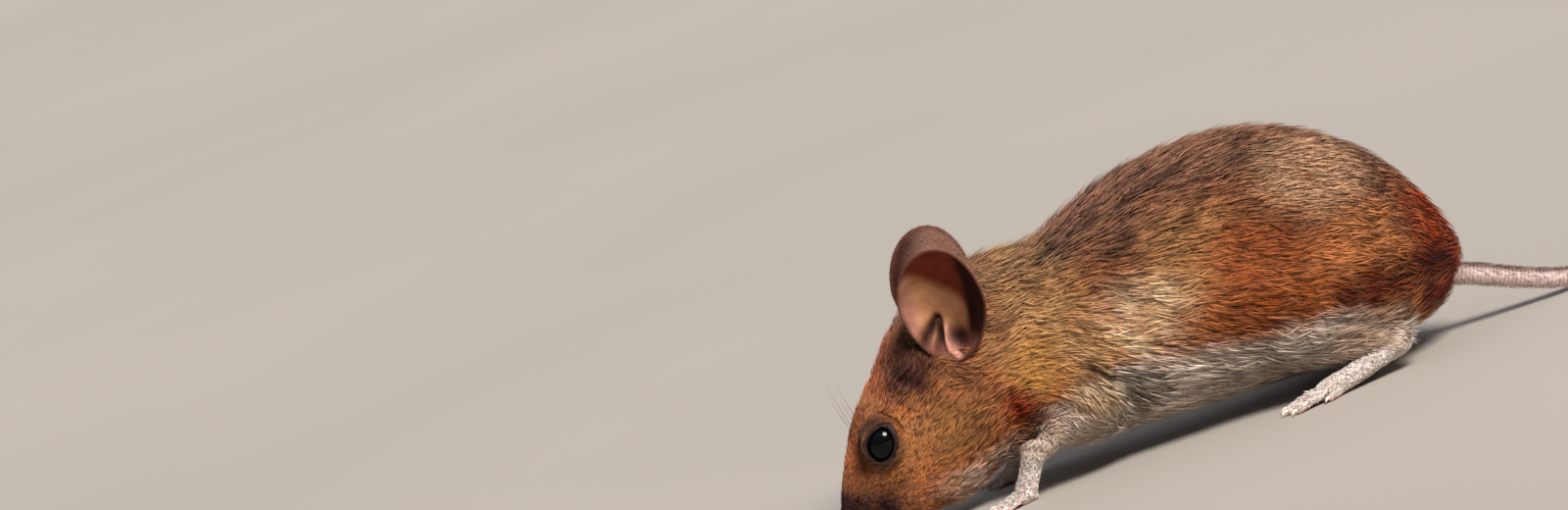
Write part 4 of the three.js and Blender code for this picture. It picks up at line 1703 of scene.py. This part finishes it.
@dataclass
class Whiskers:
    """Rows of whiskers on both sides of the muzzle, and two over each eye."""

    form: MouseForm
    rows: int = 4
    columns: int = 5
    longest: float = 19.0
    root_radius: float = 0.04
    steps: int = 14

    def one(self, root: Array, way: Array, length: float, droop: float) -> Surface:
        """One whisker, which bends a little down and back.

        Args:
            root: Where it leaves the skin.
            way: Where it points at its root.
            length: In mm.
            droop: How far its tip bends down and back, in mm.

        Returns:
            A thin tapered tube.
        """
        t = np.linspace(0, 1, self.steps)[:, None]
        line = root + unit(way) * t * length + np.array([0.5, 0, -0.55]) * droop * t**2
        floor = 0.35
        line[:, 2] = np.where(line[:, 2] < floor, floor + 0.1 * (1 - np.exp(line[:, 2] - floor)), line[:, 2])
        radii = self.root_radius * (1 - 0.85 * t[:, 0])
        points, _, faces = sweep(line, radii, 4)
        along = np.concatenate([np.repeat(t[:, 0], 4), [0, 1]])
        return Surface(points, faces, {"along": along})

    def surface(self, side: int) -> Surface:
        """All the whiskers of one side.

        Args:
            side: -1 for the left and 1 for the right.

        Returns:
            One surface of thin tubes.
        """
        rng = np.random.default_rng(7 if side > 0 else 8)
        made = []
        for i in range(self.rows):
            for j in range(self.columns):
                along = 2.2 + 1.15 * j + 0.2 * i
                above = -0.2 - 0.8 * i + 0.1 * j
                root = self.on_skin(along, above)
                way = self.form.head_point(0.3 * j - 0.3, 0.5 - 0.4 * i, 1.5) - self.form.head_point(0, 0, 0)
                way = unit(way) + rng.normal(0, 0.07, 3)
                length = self.longest * (0.42 + 0.14 * j) * rng.uniform(0.8, 1.05)
                made.append(self.one(root, way, length, length * rng.uniform(0.12, 0.3)))
        for along, above, length in ((11.4, 5.2, 10.0), (12.6, 5.5, 8.0)):
            root = self.on_skin(along, above)
            way = self.form.head_point(0.5, 1.3, 0.8) - self.form.head_point(0, 0, 0)
            made.append(self.one(root, way, length, 2.0))
        whole = reduce(Surface.joined, made)
        return whole if side > 0 else whole.mirrored()

    def on_skin(self, along: float, above: float) -> Array:
        """The skin's point straight out from a place in the head's middle plane."""
        outs = np.linspace(0.2, 9, 300)
        line = np.array([self.form.head_point(along, above, out) for out in outs])
        inside = self.form.skin(line) < 0
        return line[np.nonzero(inside)[0].max()]


# ---------------------------------------------------------------- the coat


@dataclass
class Tufts:
    """Solid tufts of hair, three-sided spindles: a root, three points round the middle, and a tip."""

    roots: Array
    middles: Array
    tips: Array
    ups: Array  # away from the skin
    widths: Array
    colours: Array
    tones: Array  # from 0 for a dark tuft to 1 for a light one
    guard: Array  # from 0 for wool to 1 for a black-tipped guard hair
    places: Array  # each one's place on its piece's bake map

    middle_along = 0.42
    patch = 0.003  # the size of a tuft's place on the bake map
    least_height = 0.01  # above the floor
    spots = ((0.5, 0), (0, 0.4), (1, 0.4), (0.5, 0.5), (0.5, 1))
    faces = ((0, 2, 1), (4, 1, 2), (0, 3, 2), (0, 1, 3), (4, 2, 3), (4, 3, 1))

    def chosen(self, which: Array) -> "Tufts":
        """Some of the tufts, by their numbers."""
        return Tufts(*(getattr(self, name)[which] for name in self.__dataclass_fields__))

    def surface(self) -> Surface:
        """All the tufts as one mesh, with the values that their finish reads."""
        across = unit(np.cross(self.ups, self.tips - self.roots)) * (self.widths / 2)[:, None]
        ridge = self.ups * (self.widths * 0.5)[:, None]
        rows = [self.roots, self.middles - across, self.middles + across, self.middles + ridge, self.tips]
        points = np.stack(rows, axis=1).reshape(-1, 3)
        points[:, 2] = np.maximum(points[:, 2], self.least_height)
        count = len(self.roots)
        faces = (np.arange(count)[:, None, None] * len(rows) + np.array(self.faces)).reshape(-1, 3)
        uv = (self.places[:, None] + np.array(self.spots) * self.patch).reshape(-1, 2)
        return Surface(
            points,
            [faces],
            {
                "pelage": np.repeat(self.colours, len(rows), axis=0),
                "along": np.tile([0, *[self.middle_along] * 3, 1.0], count),
                "seed": np.repeat(self.tones, len(rows)),
                "guard": np.repeat(self.guard, len(rows)),
            },
            [uv[faces]],
        )


@dataclass
class Roots:
    """Where the coat's tufts grow from the skin."""

    points: Array
    normals: Array
    ways: Array
    lengths: Array
    widths: Array
    depths: Array


@dataclass
class Coat:
    """The fur: fine tufts rooted in the skin, lying back along it in loose clumps."""

    form: MouseForm
    pelage: Pelage
    skin: Surface
    finish: bpy.types.Material
    space: Space
    tufts: int = 232000
    clump_size: int = 16
    clump_pull: float = 0.5
    seed: int = 3
    map_edge: float = 0.004  # of the bake map, left free
    map_width: float = 0.988  # for the tufts' places

    parts = ("muzzle", "face", "brow", "crown", "neck", "shoulders")
    parts += ("chest", "flanks", "loins", "haunches", "rump")

    def place_along(self, p: Array) -> Array:
        """How far back along the bent body a point is, in mm: by the head's axis, then by the trunk's."""
        head = self.form.station(p)
        trunk = p[:, 0] + 41.0
        return head + (trunk - head) * ease(p[:, 0] + 0.25 * (p[:, 2] - 18), -17, -3)

    def round_angle(self, p: Array) -> Array:
        """The angle round the body's middle line, from 0 to 1."""
        _, above = self.form.head.along_above(p)
        behind = ease(p[:, 0], -17, -5)
        above = (above + 1.2) * (1 - behind) + (p[:, 2] - 17) * behind
        return np.arctan2(above, p[:, 1]) / math.tau % 1.0

    def bare(self, p: Array) -> Array:
        """Which points of the skin grow no coat: nose, lids, soles and the insides of the ears."""
        q = on_right(p)
        nose = np.linalg.norm(q - self.form.head_point(0.5, 0.1), axis=1) < 1.35
        reach, facing, slit, opening = self.form.eye_slit(q)
        eye = (slit < opening + 0.14) & (facing > 0) & (reach < EYE_RADIUS + 1)
        low = 0.2 + 0.5 * self.form.foot_share(p)
        return nose | eye | self.in_ear(p) | (p[:, 2] < low)

    @staticmethod
    def in_ear(p: Array) -> Array:
        """Which points are in an ear's skin or in front of its open side."""
        across, up, lift = EAR.local(p)
        return (np.hypot(across, up) < 1.0) & (lift > EAR.height(across, up) - EAR.thickness - 0.1) & (
            (up > -0.76) | (lift < EAR.height(across, up) + 0.2)
        )

    def length(self, p: Array) -> Array:
        """The length of the hair, in mm."""
        long = ramp(
            self.place_along(p),
            (0, 0.5), (3, 0.8), (8, 1.4), (13, 1.9), (20, 2.9), (27, 3.9), (35, 4.6), (60, 4.8), (84, 4.0),
        )
        long *= 0.4 + 0.6 * ease(self.form.from_eye(p), EYE_RADIUS, EYE_RADIUS + 3)
        down = np.where(p[:, 0] < LEGS_PART, FOREARM.along(p), SHANK.along(p))
        limb = self.form.limb_share(p)
        long += (2.4 - 1.4 * down - long) * limb
        return long + (0.9 - long) * self.form.foot_share(p)

    def width(self, p: Array) -> Array:
        """The width of a tuft, in mm."""
        wide = ramp(self.place_along(p), (0, 0.08), (8, 0.115), (16, 0.145), (28, 0.175), (45, 0.2))
        wide *= 1 - 0.25 * self.form.limb_share(p)
        return wide + (0.1 - wide) * self.form.foot_share(p)

    def lie(self, p: Array, normals: Array) -> Array:
        """Where the hair points: back along head and body, down the legs, and round the eyes and ears."""
        q = on_right(p)
        back = ease(self.place_along(p), 20, 36)[:, None]
        head_way = np.array([math.cos(HEAD_PITCH), 0.05, math.sin(HEAD_PITCH)])
        down = -0.28 * ease(p[:, 2], 4, 14) * (1 - ease(p[:, 2], 24, 31))
        trunk_way = np.stack([np.ones(len(p)), np.zeros(len(p)), down], axis=1)
        way = head_way * (1 - back) + trunk_way * back
        shoulder = bell(np.linalg.norm((q - (-5, 10, 10)) / (1, 2, 1), axis=1), 5.5)[:, None]
        way = way * (1 - 0.8 * shoulder) + np.array([0.15, 0.1, -1.0]) * 0.8 * shoulder
        limb = self.form.limb_share(p)[:, None]
        fore, hind = unit(np.array([-0.6, 0.05, -1.0])), unit(np.array([14.6, 0.5, -4.1]))
        leg = np.where(p[:, 0:1] < LEGS_PART, fore, hind)
        way = way * (1 - limb) + leg * limb
        foot = self.form.foot_share(p)[:, None]
        way = way * (1 - foot) + np.array([-1.0, 0.05, -0.35]) * foot
        for centre, reach in ((self.form.eye_centre(), 3.0), (np.array(EAR.centre) - (0, 2, 4), 7.0)):
            away = q - centre
            near = bell(np.linalg.norm(away, axis=1), reach)[:, None]
            away = unit(away)
            into = np.minimum((way * away).sum(axis=1, keepdims=True), 0)
            way = way - away * into * near * 1.3
        way[:, 1] *= np.where(p[:, 1] < 0, -1, 1)
        way -= normals * (way * normals).sum(axis=1, keepdims=True)
        return unit(way)

    def scatter(self) -> Roots:
        """Spreads the tufts' roots over the skin, thickly enough for their size everywhere."""
        rng = np.random.default_rng(self.seed)
        quads = self.skin.faces[0]
        triangles = np.concatenate([quads[:, [0, 1, 2]], quads[:, [0, 2, 3]]])
        corners = self.skin.points[triangles]
        middle = corners.mean(axis=1)
        cross = np.cross(corners[:, 1] - corners[:, 0], corners[:, 2] - corners[:, 0])
        layers = ramp(self.place_along(middle), (0, 5), (8, 9), (16, 13), (24, 17), (32, 20))
        layers += (5.0 - layers) * self.form.foot_share(middle)
        weight = np.linalg.norm(cross, axis=1) * layers / (self.length(middle) * self.width(middle))
        weight[self.bare(middle)] = 0
        pick = rng.choice(len(triangles), self.tufts, p=weight / weight.sum())
        u, v = rng.random((2, self.tufts, 1))
        over = u + v > 1
        u, v = np.where(over, 1 - u, u), np.where(over, 1 - v, v)
        first, second, third = (corners[pick, k] for k in range(3))
        points = first + (second - first) * u + (third - first) * v
        normals = unit(self.form.slope(self.form.skin, points, 0.25))
        swirl = 0.13 * rng.normal(size=len(points))
        swirl = swirl + 0.2 * ripples(points, 3.0, 41) + 0.1 * ripples(points, 1.1, 43)
        ways = self.lie(points, normals)
        sideways = np.cross(normals, ways)
        ways = ways * np.cos(swirl)[:, None] + sideways * np.sin(swirl)[:, None]
        depths = np.maximum(-self.form.coat(points), 0.08 + 0.16 * self.form.foot_share(points))
        lengths = self.length(points) * rng.uniform(0.75, 1.2, len(points))
        for _ in range(3):
            crosses = np.zeros(len(points), bool)
            for share in (0.5, 1.0):
                crosses |= self.in_ear(points + ways * (lengths * share)[:, None] + normals * depths[:, None])
            lengths = np.where(crosses, lengths * 0.6, lengths)
        widths = self.width(points) * rng.uniform(0.75, 1.25, len(points))
        return Roots(*(each[~crosses] for each in (points, normals, ways, lengths, widths, depths)))

    def clumps(self, roots: Roots, rng: np.random.Generator) -> tuple[Array, Array]:
        """Gathers the tufts into clumps about a millimetre across.

        Args:
            roots: Where they grow.
            rng: Picks the clumps.

        Returns:
            For each tuft, the way across the lie to its clump's middle, and the number of the clump.
        """
        middles = rng.choice(len(roots.points), len(roots.points) // self.clump_size, replace=False)
        tree = KDTree(len(middles))
        for i, middle in enumerate(middles):
            tree.insert(roots.points[middle], i)
        tree.balance()
        number = np.array([tree.find(point)[1] for point in roots.points])
        pull = roots.points[middles[number]] - roots.points
        pull -= roots.ways * (pull * roots.ways).sum(axis=1, keepdims=True)
        reach = np.linalg.norm(pull, axis=1, keepdims=True)
        return pull * np.minimum(1, 0.7 / np.maximum(reach, 0.01)), number

    def grow(self, roots: Roots) -> Tufts:
        """Bends the tufts back so that they end about the coat's outer surface.

        Args:
            roots: Where they grow.

        Returns:
            All the tufts.
        """
        rng = np.random.default_rng(self.seed + 1)
        count = len(roots.points)
        high = roots.points[:, 2] / ramp(roots.points[:, 0], (-38, 14), (-12, 29), (15, 35), (40, 25))
        patchy = ease(ripples(roots.points, 4.0, 61), -0.3, 0.9) * ease(-roots.points[:, 0], -38, -8)
        chance = 0.015 + 0.05 * ease(high, 0.3, 0.9) + 0.16 * ease(high, 0.55, 0.9) * patchy
        guard = rng.random(count) < chance
        length = roots.lengths * np.where(guard, 1.2, 1.0)
        pull, clump = self.clumps(roots, rng)
        tone, height = rng.random((2, clump.max() + 1))
        rise = rng.uniform(0.45, 1.0, count) * (0.82 + 0.2 * height[clump]) + np.where(guard, 0.1, 0.0)
        rise = np.where(rng.random(count) < 0.04, rng.uniform(1.05, 1.3, count), rise)
        proud = self.form.coat(roots.points) > -0.1  # where lids and lips stand out of the coat's surface
        made = []
        for share, lift in ((Tufts.middle_along, 0.75), (1.0, 1.0)):
            place = roots.points + roots.ways * (length * share)[:, None]
            place += pull * self.clump_pull * share**1.5
            place += roots.normals * (roots.depths * rise * lift)[:, None]
            slope = unit(self.form.slope(self.form.coat, place))
            gap = -roots.depths * (1 - rise * lift) - self.form.coat(place)
            gap[proud] = 0
            place = place + slope * np.clip(gap, -1.5, 1.5)[:, None]
            place[:, 2] = np.maximum(place[:, 2], HAIR_CLEARANCE)
            made.append(place)
        middles, tips = made
        through = self.in_ear(middles) | self.in_ear((middles + tips) / 2) | self.in_ear(tips)
        cut = [roots.points + (end - roots.points) * 0.1 for end in made]
        middles, tips = (np.where(through[:, None], *ends) for ends in zip(cut, made))
        # A tuft's colour is that of the skin under its outer part, so that the markings don't shift.
        colours = self.pelage.colour(roots.points + roots.ways * (length * 0.6)[:, None])
        return Tufts(
            roots.points - roots.normals * 0.1,
            middles,
            tips,
            roots.normals,
            roots.widths * np.where(guard, 0.75, 1.0),
            colours,
            0.45 * tone[clump] + 0.55 * rng.random(count),
            guard * rng.uniform(0.5, 1.0, count),
            np.zeros((count, 2)),
        )

    def piece(self, name: str, tufts: Tufts, places: Array, slot: str = "coat") -> bpy.types.Object:
        """Makes one piece of the coat.

        Args:
            name: The piece's name.
            tufts: Its tufts.
            places: The place of each on the bake map, from 0 to 1 each way.
            slot: Not used.

        Returns:
            The object.
        """
        tufts.places = self.map_edge + self.map_width * places
        return build_object(name, tufts.surface(), self.space, [self.finish])

    def make(self) -> None:
        """Grows the whole coat and parts it into its pieces."""
        roots = self.scatter()
        tufts = self.grow(roots)
        legs = np.maximum(self.form.limb_share(roots.points), self.form.foot_share(roots.points)) > 0.5
        along, angle = self.place_along(roots.points), self.round_angle(roots.points)
        edges = np.quantile(along[~legs], np.linspace(0, 1, len(self.parts) + 1))
        for part, start, end in zip(self.parts, edges, edges[1:]):
            which = np.nonzero(~legs & (along >= start) & (along < end))[0]
            share = (along[which] - start) / (end - start)
            self.piece(f"coat_{part}", tufts.chosen(which), np.stack([share, angle[which]], axis=1))
        which = np.nonzero(legs)[0]
        self.piece("coat_legs", tufts.chosen(which), self.leg_places(roots.points[which]))

    def leg_places(self, p: Array) -> Array:
        """The place of each leg's tufts on the bake map: a quarter for each leg, along and round it."""
        front = p[:, 0] < LEGS_PART
        places = np.zeros((len(p), 2))
        for upper, lower, chosen in ((FOREARM, PALM, front), (SHANK, SOLE, ~front)):
            t = np.where(self.form.foot_share(p) > 0.5, 0.5 + lower.along(p) / 2, upper.along(p) / 2)
            centre = np.array(lower.start) + 0.5 * np.subtract(lower.end, lower.start)
            angle = np.arctan2(p[:, 2] - centre[2], np.abs(p[:, 1]) - centre[1]) / math.tau % 1.0
            places[chosen] = np.stack([t, angle], axis=1)[chosen]
        quarter = np.stack([front * 0.5, (p[:, 1] > 0) * 0.5], axis=1)
        return quarter + places * 0.49


@dataclass
class Down:
    """The thin down of the ears and the tail."""

    coat: Coat
    ear_count: int = 4000
    tail_count: int = 6000
    seed: int = 12

    def lying(self, roots: Array, ups: Array, ways: Array, length: Array, rise: float, width: float) -> Tufts:
        """Short hairs on bare skin.

        Args:
            roots: Where they grow.
            ups: Away from the skin.
            ways: Where they point along it.
            length: In mm.
            rise: How far their tips stand off, in mm.
            width: In mm.

        Returns:
            The hairs, still white.
        """
        count = len(roots)
        tips = roots + ways * length[:, None] + ups * rise
        middles = roots + ways * (length * Tufts.middle_along)[:, None] + ups * (rise * 0.55)
        rng = np.random.default_rng(self.seed)
        return Tufts(
            roots - ups * 0.04,
            middles,
            tips,
            ups,
            np.full(count, width),
            np.ones((count, 3)),
            rng.random(count),
            np.zeros(count),
            np.zeros((count, 2)),
        )

    def ears(self) -> bpy.types.Object:
        """Down on the backs of the ears, and a fringe round their rims."""
        rng = np.random.default_rng(self.seed)
        made, places = [], []
        for side in (-1, 1):
            share = np.sqrt(rng.random(self.ear_count))
            fringe = rng.random(self.ear_count) < 0.3
            share = np.where(fringe, rng.uniform(0.93, 1.0, self.ear_count), share)
            angle = rng.random(self.ear_count) * math.tau
            across, up = share * np.cos(angle), share * np.sin(angle)
            inner = fringe & (rng.random(self.ear_count) < 0.5)
            lift = EAR.height(across, up) - np.where(inner, 0, EAR.thickness)
            roots = EAR.place(across, up, lift)
            ahead = EAR.place(across * 1.02, up * 1.02 + 0.02, lift)
            _, _, out = EAR.axes()
            ways = unit(ahead - roots + rng.normal(0, 0.05, roots.shape))
            ups = np.where(inner[:, None], out, -out)
            hairs = self.lying(roots, ups, ways, rng.uniform(0.35, 0.7, self.ear_count), 0.06, 0.035)
            tone = EarTones(EAR).colour(across, up, inner.astype(float))
            hairs.colours = tone * 1.6
            for each in (hairs.roots, hairs.middles, hairs.tips, hairs.ups):
                each[:, 1] *= side
            made.append(hairs)
            quarter = np.stack([np.full(self.ear_count, side > 0), inner], axis=1) * 0.5
            places.append(quarter + (np.stack([across, up], axis=1) / 2 + 0.5) * 0.48)
        both = Tufts(*(np.concatenate([getattr(t, n) for t in made]) for n in Tufts.__dataclass_fields__))
        return self.coat.piece("coat_ears", both, np.concatenate(places), "ear_skin")

    def tail(self, tail: "Tail") -> bpy.types.Object:
        """Short stiff hairs between the tail's rings of scales.

        Args:
            tail: The tail they grow on.

        Returns:
            The piece.
        """
        rng = np.random.default_rng(self.seed + 1)
        rings = tail.ring_count()
        t = np.minimum((rng.integers(0, rings, self.tail_count) + 0.5) / rings, tail.last_ring)
        angle = rng.random(self.tail_count) * math.tau
        roots, ups, ways = tail.place(t, angle)
        keep = roots[:, 2] > 0.12
        t, angle, roots, ups, ways = (each[keep] for each in (t, angle, roots, ups, ways))
        hairs = self.lying(roots, ups, ways, rng.uniform(0.6, 1.1, len(t)), 0.16, 0.05)
        hairs.tips[:, 2] = np.maximum(hairs.tips[:, 2], HAIR_CLEARANCE)
        dark, pale = hex_to_linear("#4a332c"), hex_to_linear("#c9b3a6")
        share = ease(np.sin(angle), 0.5, 0.9)[:, None]
        hairs.colours = pale * (1 - share) + dark * share
        return self.coat.piece("coat_tail", hairs, np.stack([t, angle / math.tau], axis=1), "tail_skin")


# ---------------------------------------------------------------- the studio


@dataclass
class Studio:
    """A plain pale floor, a high soft key light, an even sky, and the camera."""

    space: Space
    floor_half: float = 6000.0
    camera_anchor: Point = (20.0, -12.0, 0.0)  # a point on the floor by the near hind foot
    anchor_pixel: tuple[float, float] = (1330.0, 415.0)
    picture: tuple[int, int] = (1600, 520)
    azimuth: float = math.radians(0.5)
    elevation: float = math.radians(8.0)
    roll: float = math.radians(20.0)
    focal_pixels: float = 8200.0
    distance: float = 1000.0
    key_way: Point = (0.12, 0.71, 0.69)  # right, up and towards the camera
    key_strength: float = 5.0
    key_angle: float = math.radians(22)
    sky_strength: float = 0.6
    sky_colours: tuple[str, str] = ("#8d8680", "#dfe6f2")  # at the horizon and overhead

    def view_axes(self) -> tuple[Array, Array, Array]:
        """The camera's right, up and forward directions."""
        a, e = self.azimuth, self.elevation
        forward = np.array([-math.sin(a) * math.cos(e), math.cos(a) * math.cos(e), -math.sin(e)])
        level = np.array([math.cos(a), math.sin(a), 0.0])
        high = np.cross(level, forward)
        c, s = math.cos(self.roll), math.sin(self.roll)
        return level * c - high * s, level * s + high * c, forward

    def make_camera(self) -> None:
        """Sets the camera so that the anchor falls on its pixel."""
        right, up, forward = self.view_axes()
        across = (self.anchor_pixel[0] - self.picture[0] / 2) / self.focal_pixels
        down = (self.anchor_pixel[1] - self.picture[1] / 2) / self.focal_pixels
        ray = forward + right * across - up * down
        place = self.space.metres(np.array(self.camera_anchor) - ray * self.distance)
        data = bpy.data.cameras.new("camera")
        data.sensor_width = 36.0
        data.lens = self.focal_pixels / self.picture[0] * data.sensor_width
        data.clip_start, data.clip_end = 0.05, 50.0
        camera = linked("camera", data)
        turn = Matrix([[right[i], up[i], -forward[i]] for i in range(3)]).to_4x4()
        camera.matrix_world = Matrix.Translation(place) @ turn
        bpy.context.scene.camera = camera

    def make_light(self) -> None:
        """Hangs a broad key light over the mouse's near rear shoulder, in an even pale sky."""
        right, up, forward = self.view_axes()
        way = unit(right * self.key_way[0] + up * self.key_way[1] - forward * self.key_way[2])
        data = bpy.data.lights.new("key", "SUN")
        data.energy, data.angle = self.key_strength, self.key_angle
        data.color = (1.0, 0.965, 0.91)
        light = linked("key", data)
        side = unit(np.cross([0, 0, 1], way))
        light.matrix_world = Matrix([[side[i], np.cross(way, side)[i], way[i]] for i in range(3)]).to_4x4()
        world = bpy.data.worlds.new("sky")
        world.use_nodes = True
        tree = world.node_tree
        height = node(tree, "SeparateXYZ", {0: node(tree, "TexCoord").outputs["Generated"]}).outputs["Z"]
        sky = tree.nodes["Background"]
        horizon, overhead = self.sky_colours
        tree.links.new(colour_ramp(tree, height, (0.05, horizon), (0.9, overhead)), sky.inputs[0])
        sky.inputs["Strength"].default_value = self.sky_strength
        bpy.context.scene.world = world
        bpy.context.scene.view_settings.view_transform = "Standard"

    def make_floor(self) -> None:
        """Lays the floor."""
        mesh = bpy.data.meshes.new("floor")
        half = self.floor_half * METRES
        corners = [(x * half, y * half, 0) for x, y in ((-1, -1), (1, -1), (1, 1), (-1, 1))]
        mesh.from_pydata(corners, [], [(0, 1, 2, 3)])
        mesh.materials.append(FloorFinish().make())
        floor = linked("floor", mesh)
        floor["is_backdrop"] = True


# ---------------------------------------------------------------- the whole mouse

PAIRED = ("ear", "foreleg", "forepaw", "hindleg", "hindfoot")
FLESH = ("head", "neck", "trunk") + tuple(f"{part}_{side}" for part in PAIRED for side in SIDES)
FLESH += ("tail_base", "tail_middle", "tail_tip")


def main() -> None:
    """Builds the studio and the mouse."""
    logging.basicConfig(level=logging.INFO, format="%(relativeCreated)6d %(message)s")
    form = MouseForm()
    space = Space(form)
    studio = Studio(space)
    studio.make_camera()
    studio.make_light()
    studio.make_floor()
    log.info("studio is set")

    pelage = Pelage(form)
    maker = Skin(form, pelage)
    body = maker.body()
    ear = maker.ear()
    tail = Tail()
    whole = reduce(Surface.joined, (body, ear, ear.mirrored(), tail.surface(pelage)))
    finishes = [SkinFinish().make(), EarFinish().make(), TailFinish().make()]
    skin = build_object("skin", whole, space, finishes)
    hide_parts(*FLESH)

    eye, horn, hair = EyeFinish().make(), HornFinish().make(), WhiskerFinish().make()
    for name, side in SIDES.items():
        ball = build_object(f"eyeball_{name}", Eyes(form).surface(side), space, [eye])
        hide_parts(f"eye_{name}")
        for foot, paw in (("forepaw", FOREPAW), ("hindfoot", HINDPAW)):
            build_object(f"claws_{foot}_{name}", Claws().surface(paw, side), space, [horn])
        build_object(f"whiskers_{name}", Whiskers(form).surface(side), space, [hair])

    coat = Coat(form, pelage, body, CoatFinish().make(), space)
    coat.make()
    down = Down(coat)
    down.ears()
    down.tail(tail)
    boxes = {"solids": SOLIDS_BOX, "dressed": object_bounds()}
    {name: [[float(x) for x in corner] for corner in box] for name, box in boxes.items()}


if __name__ == "__main__":
    main()
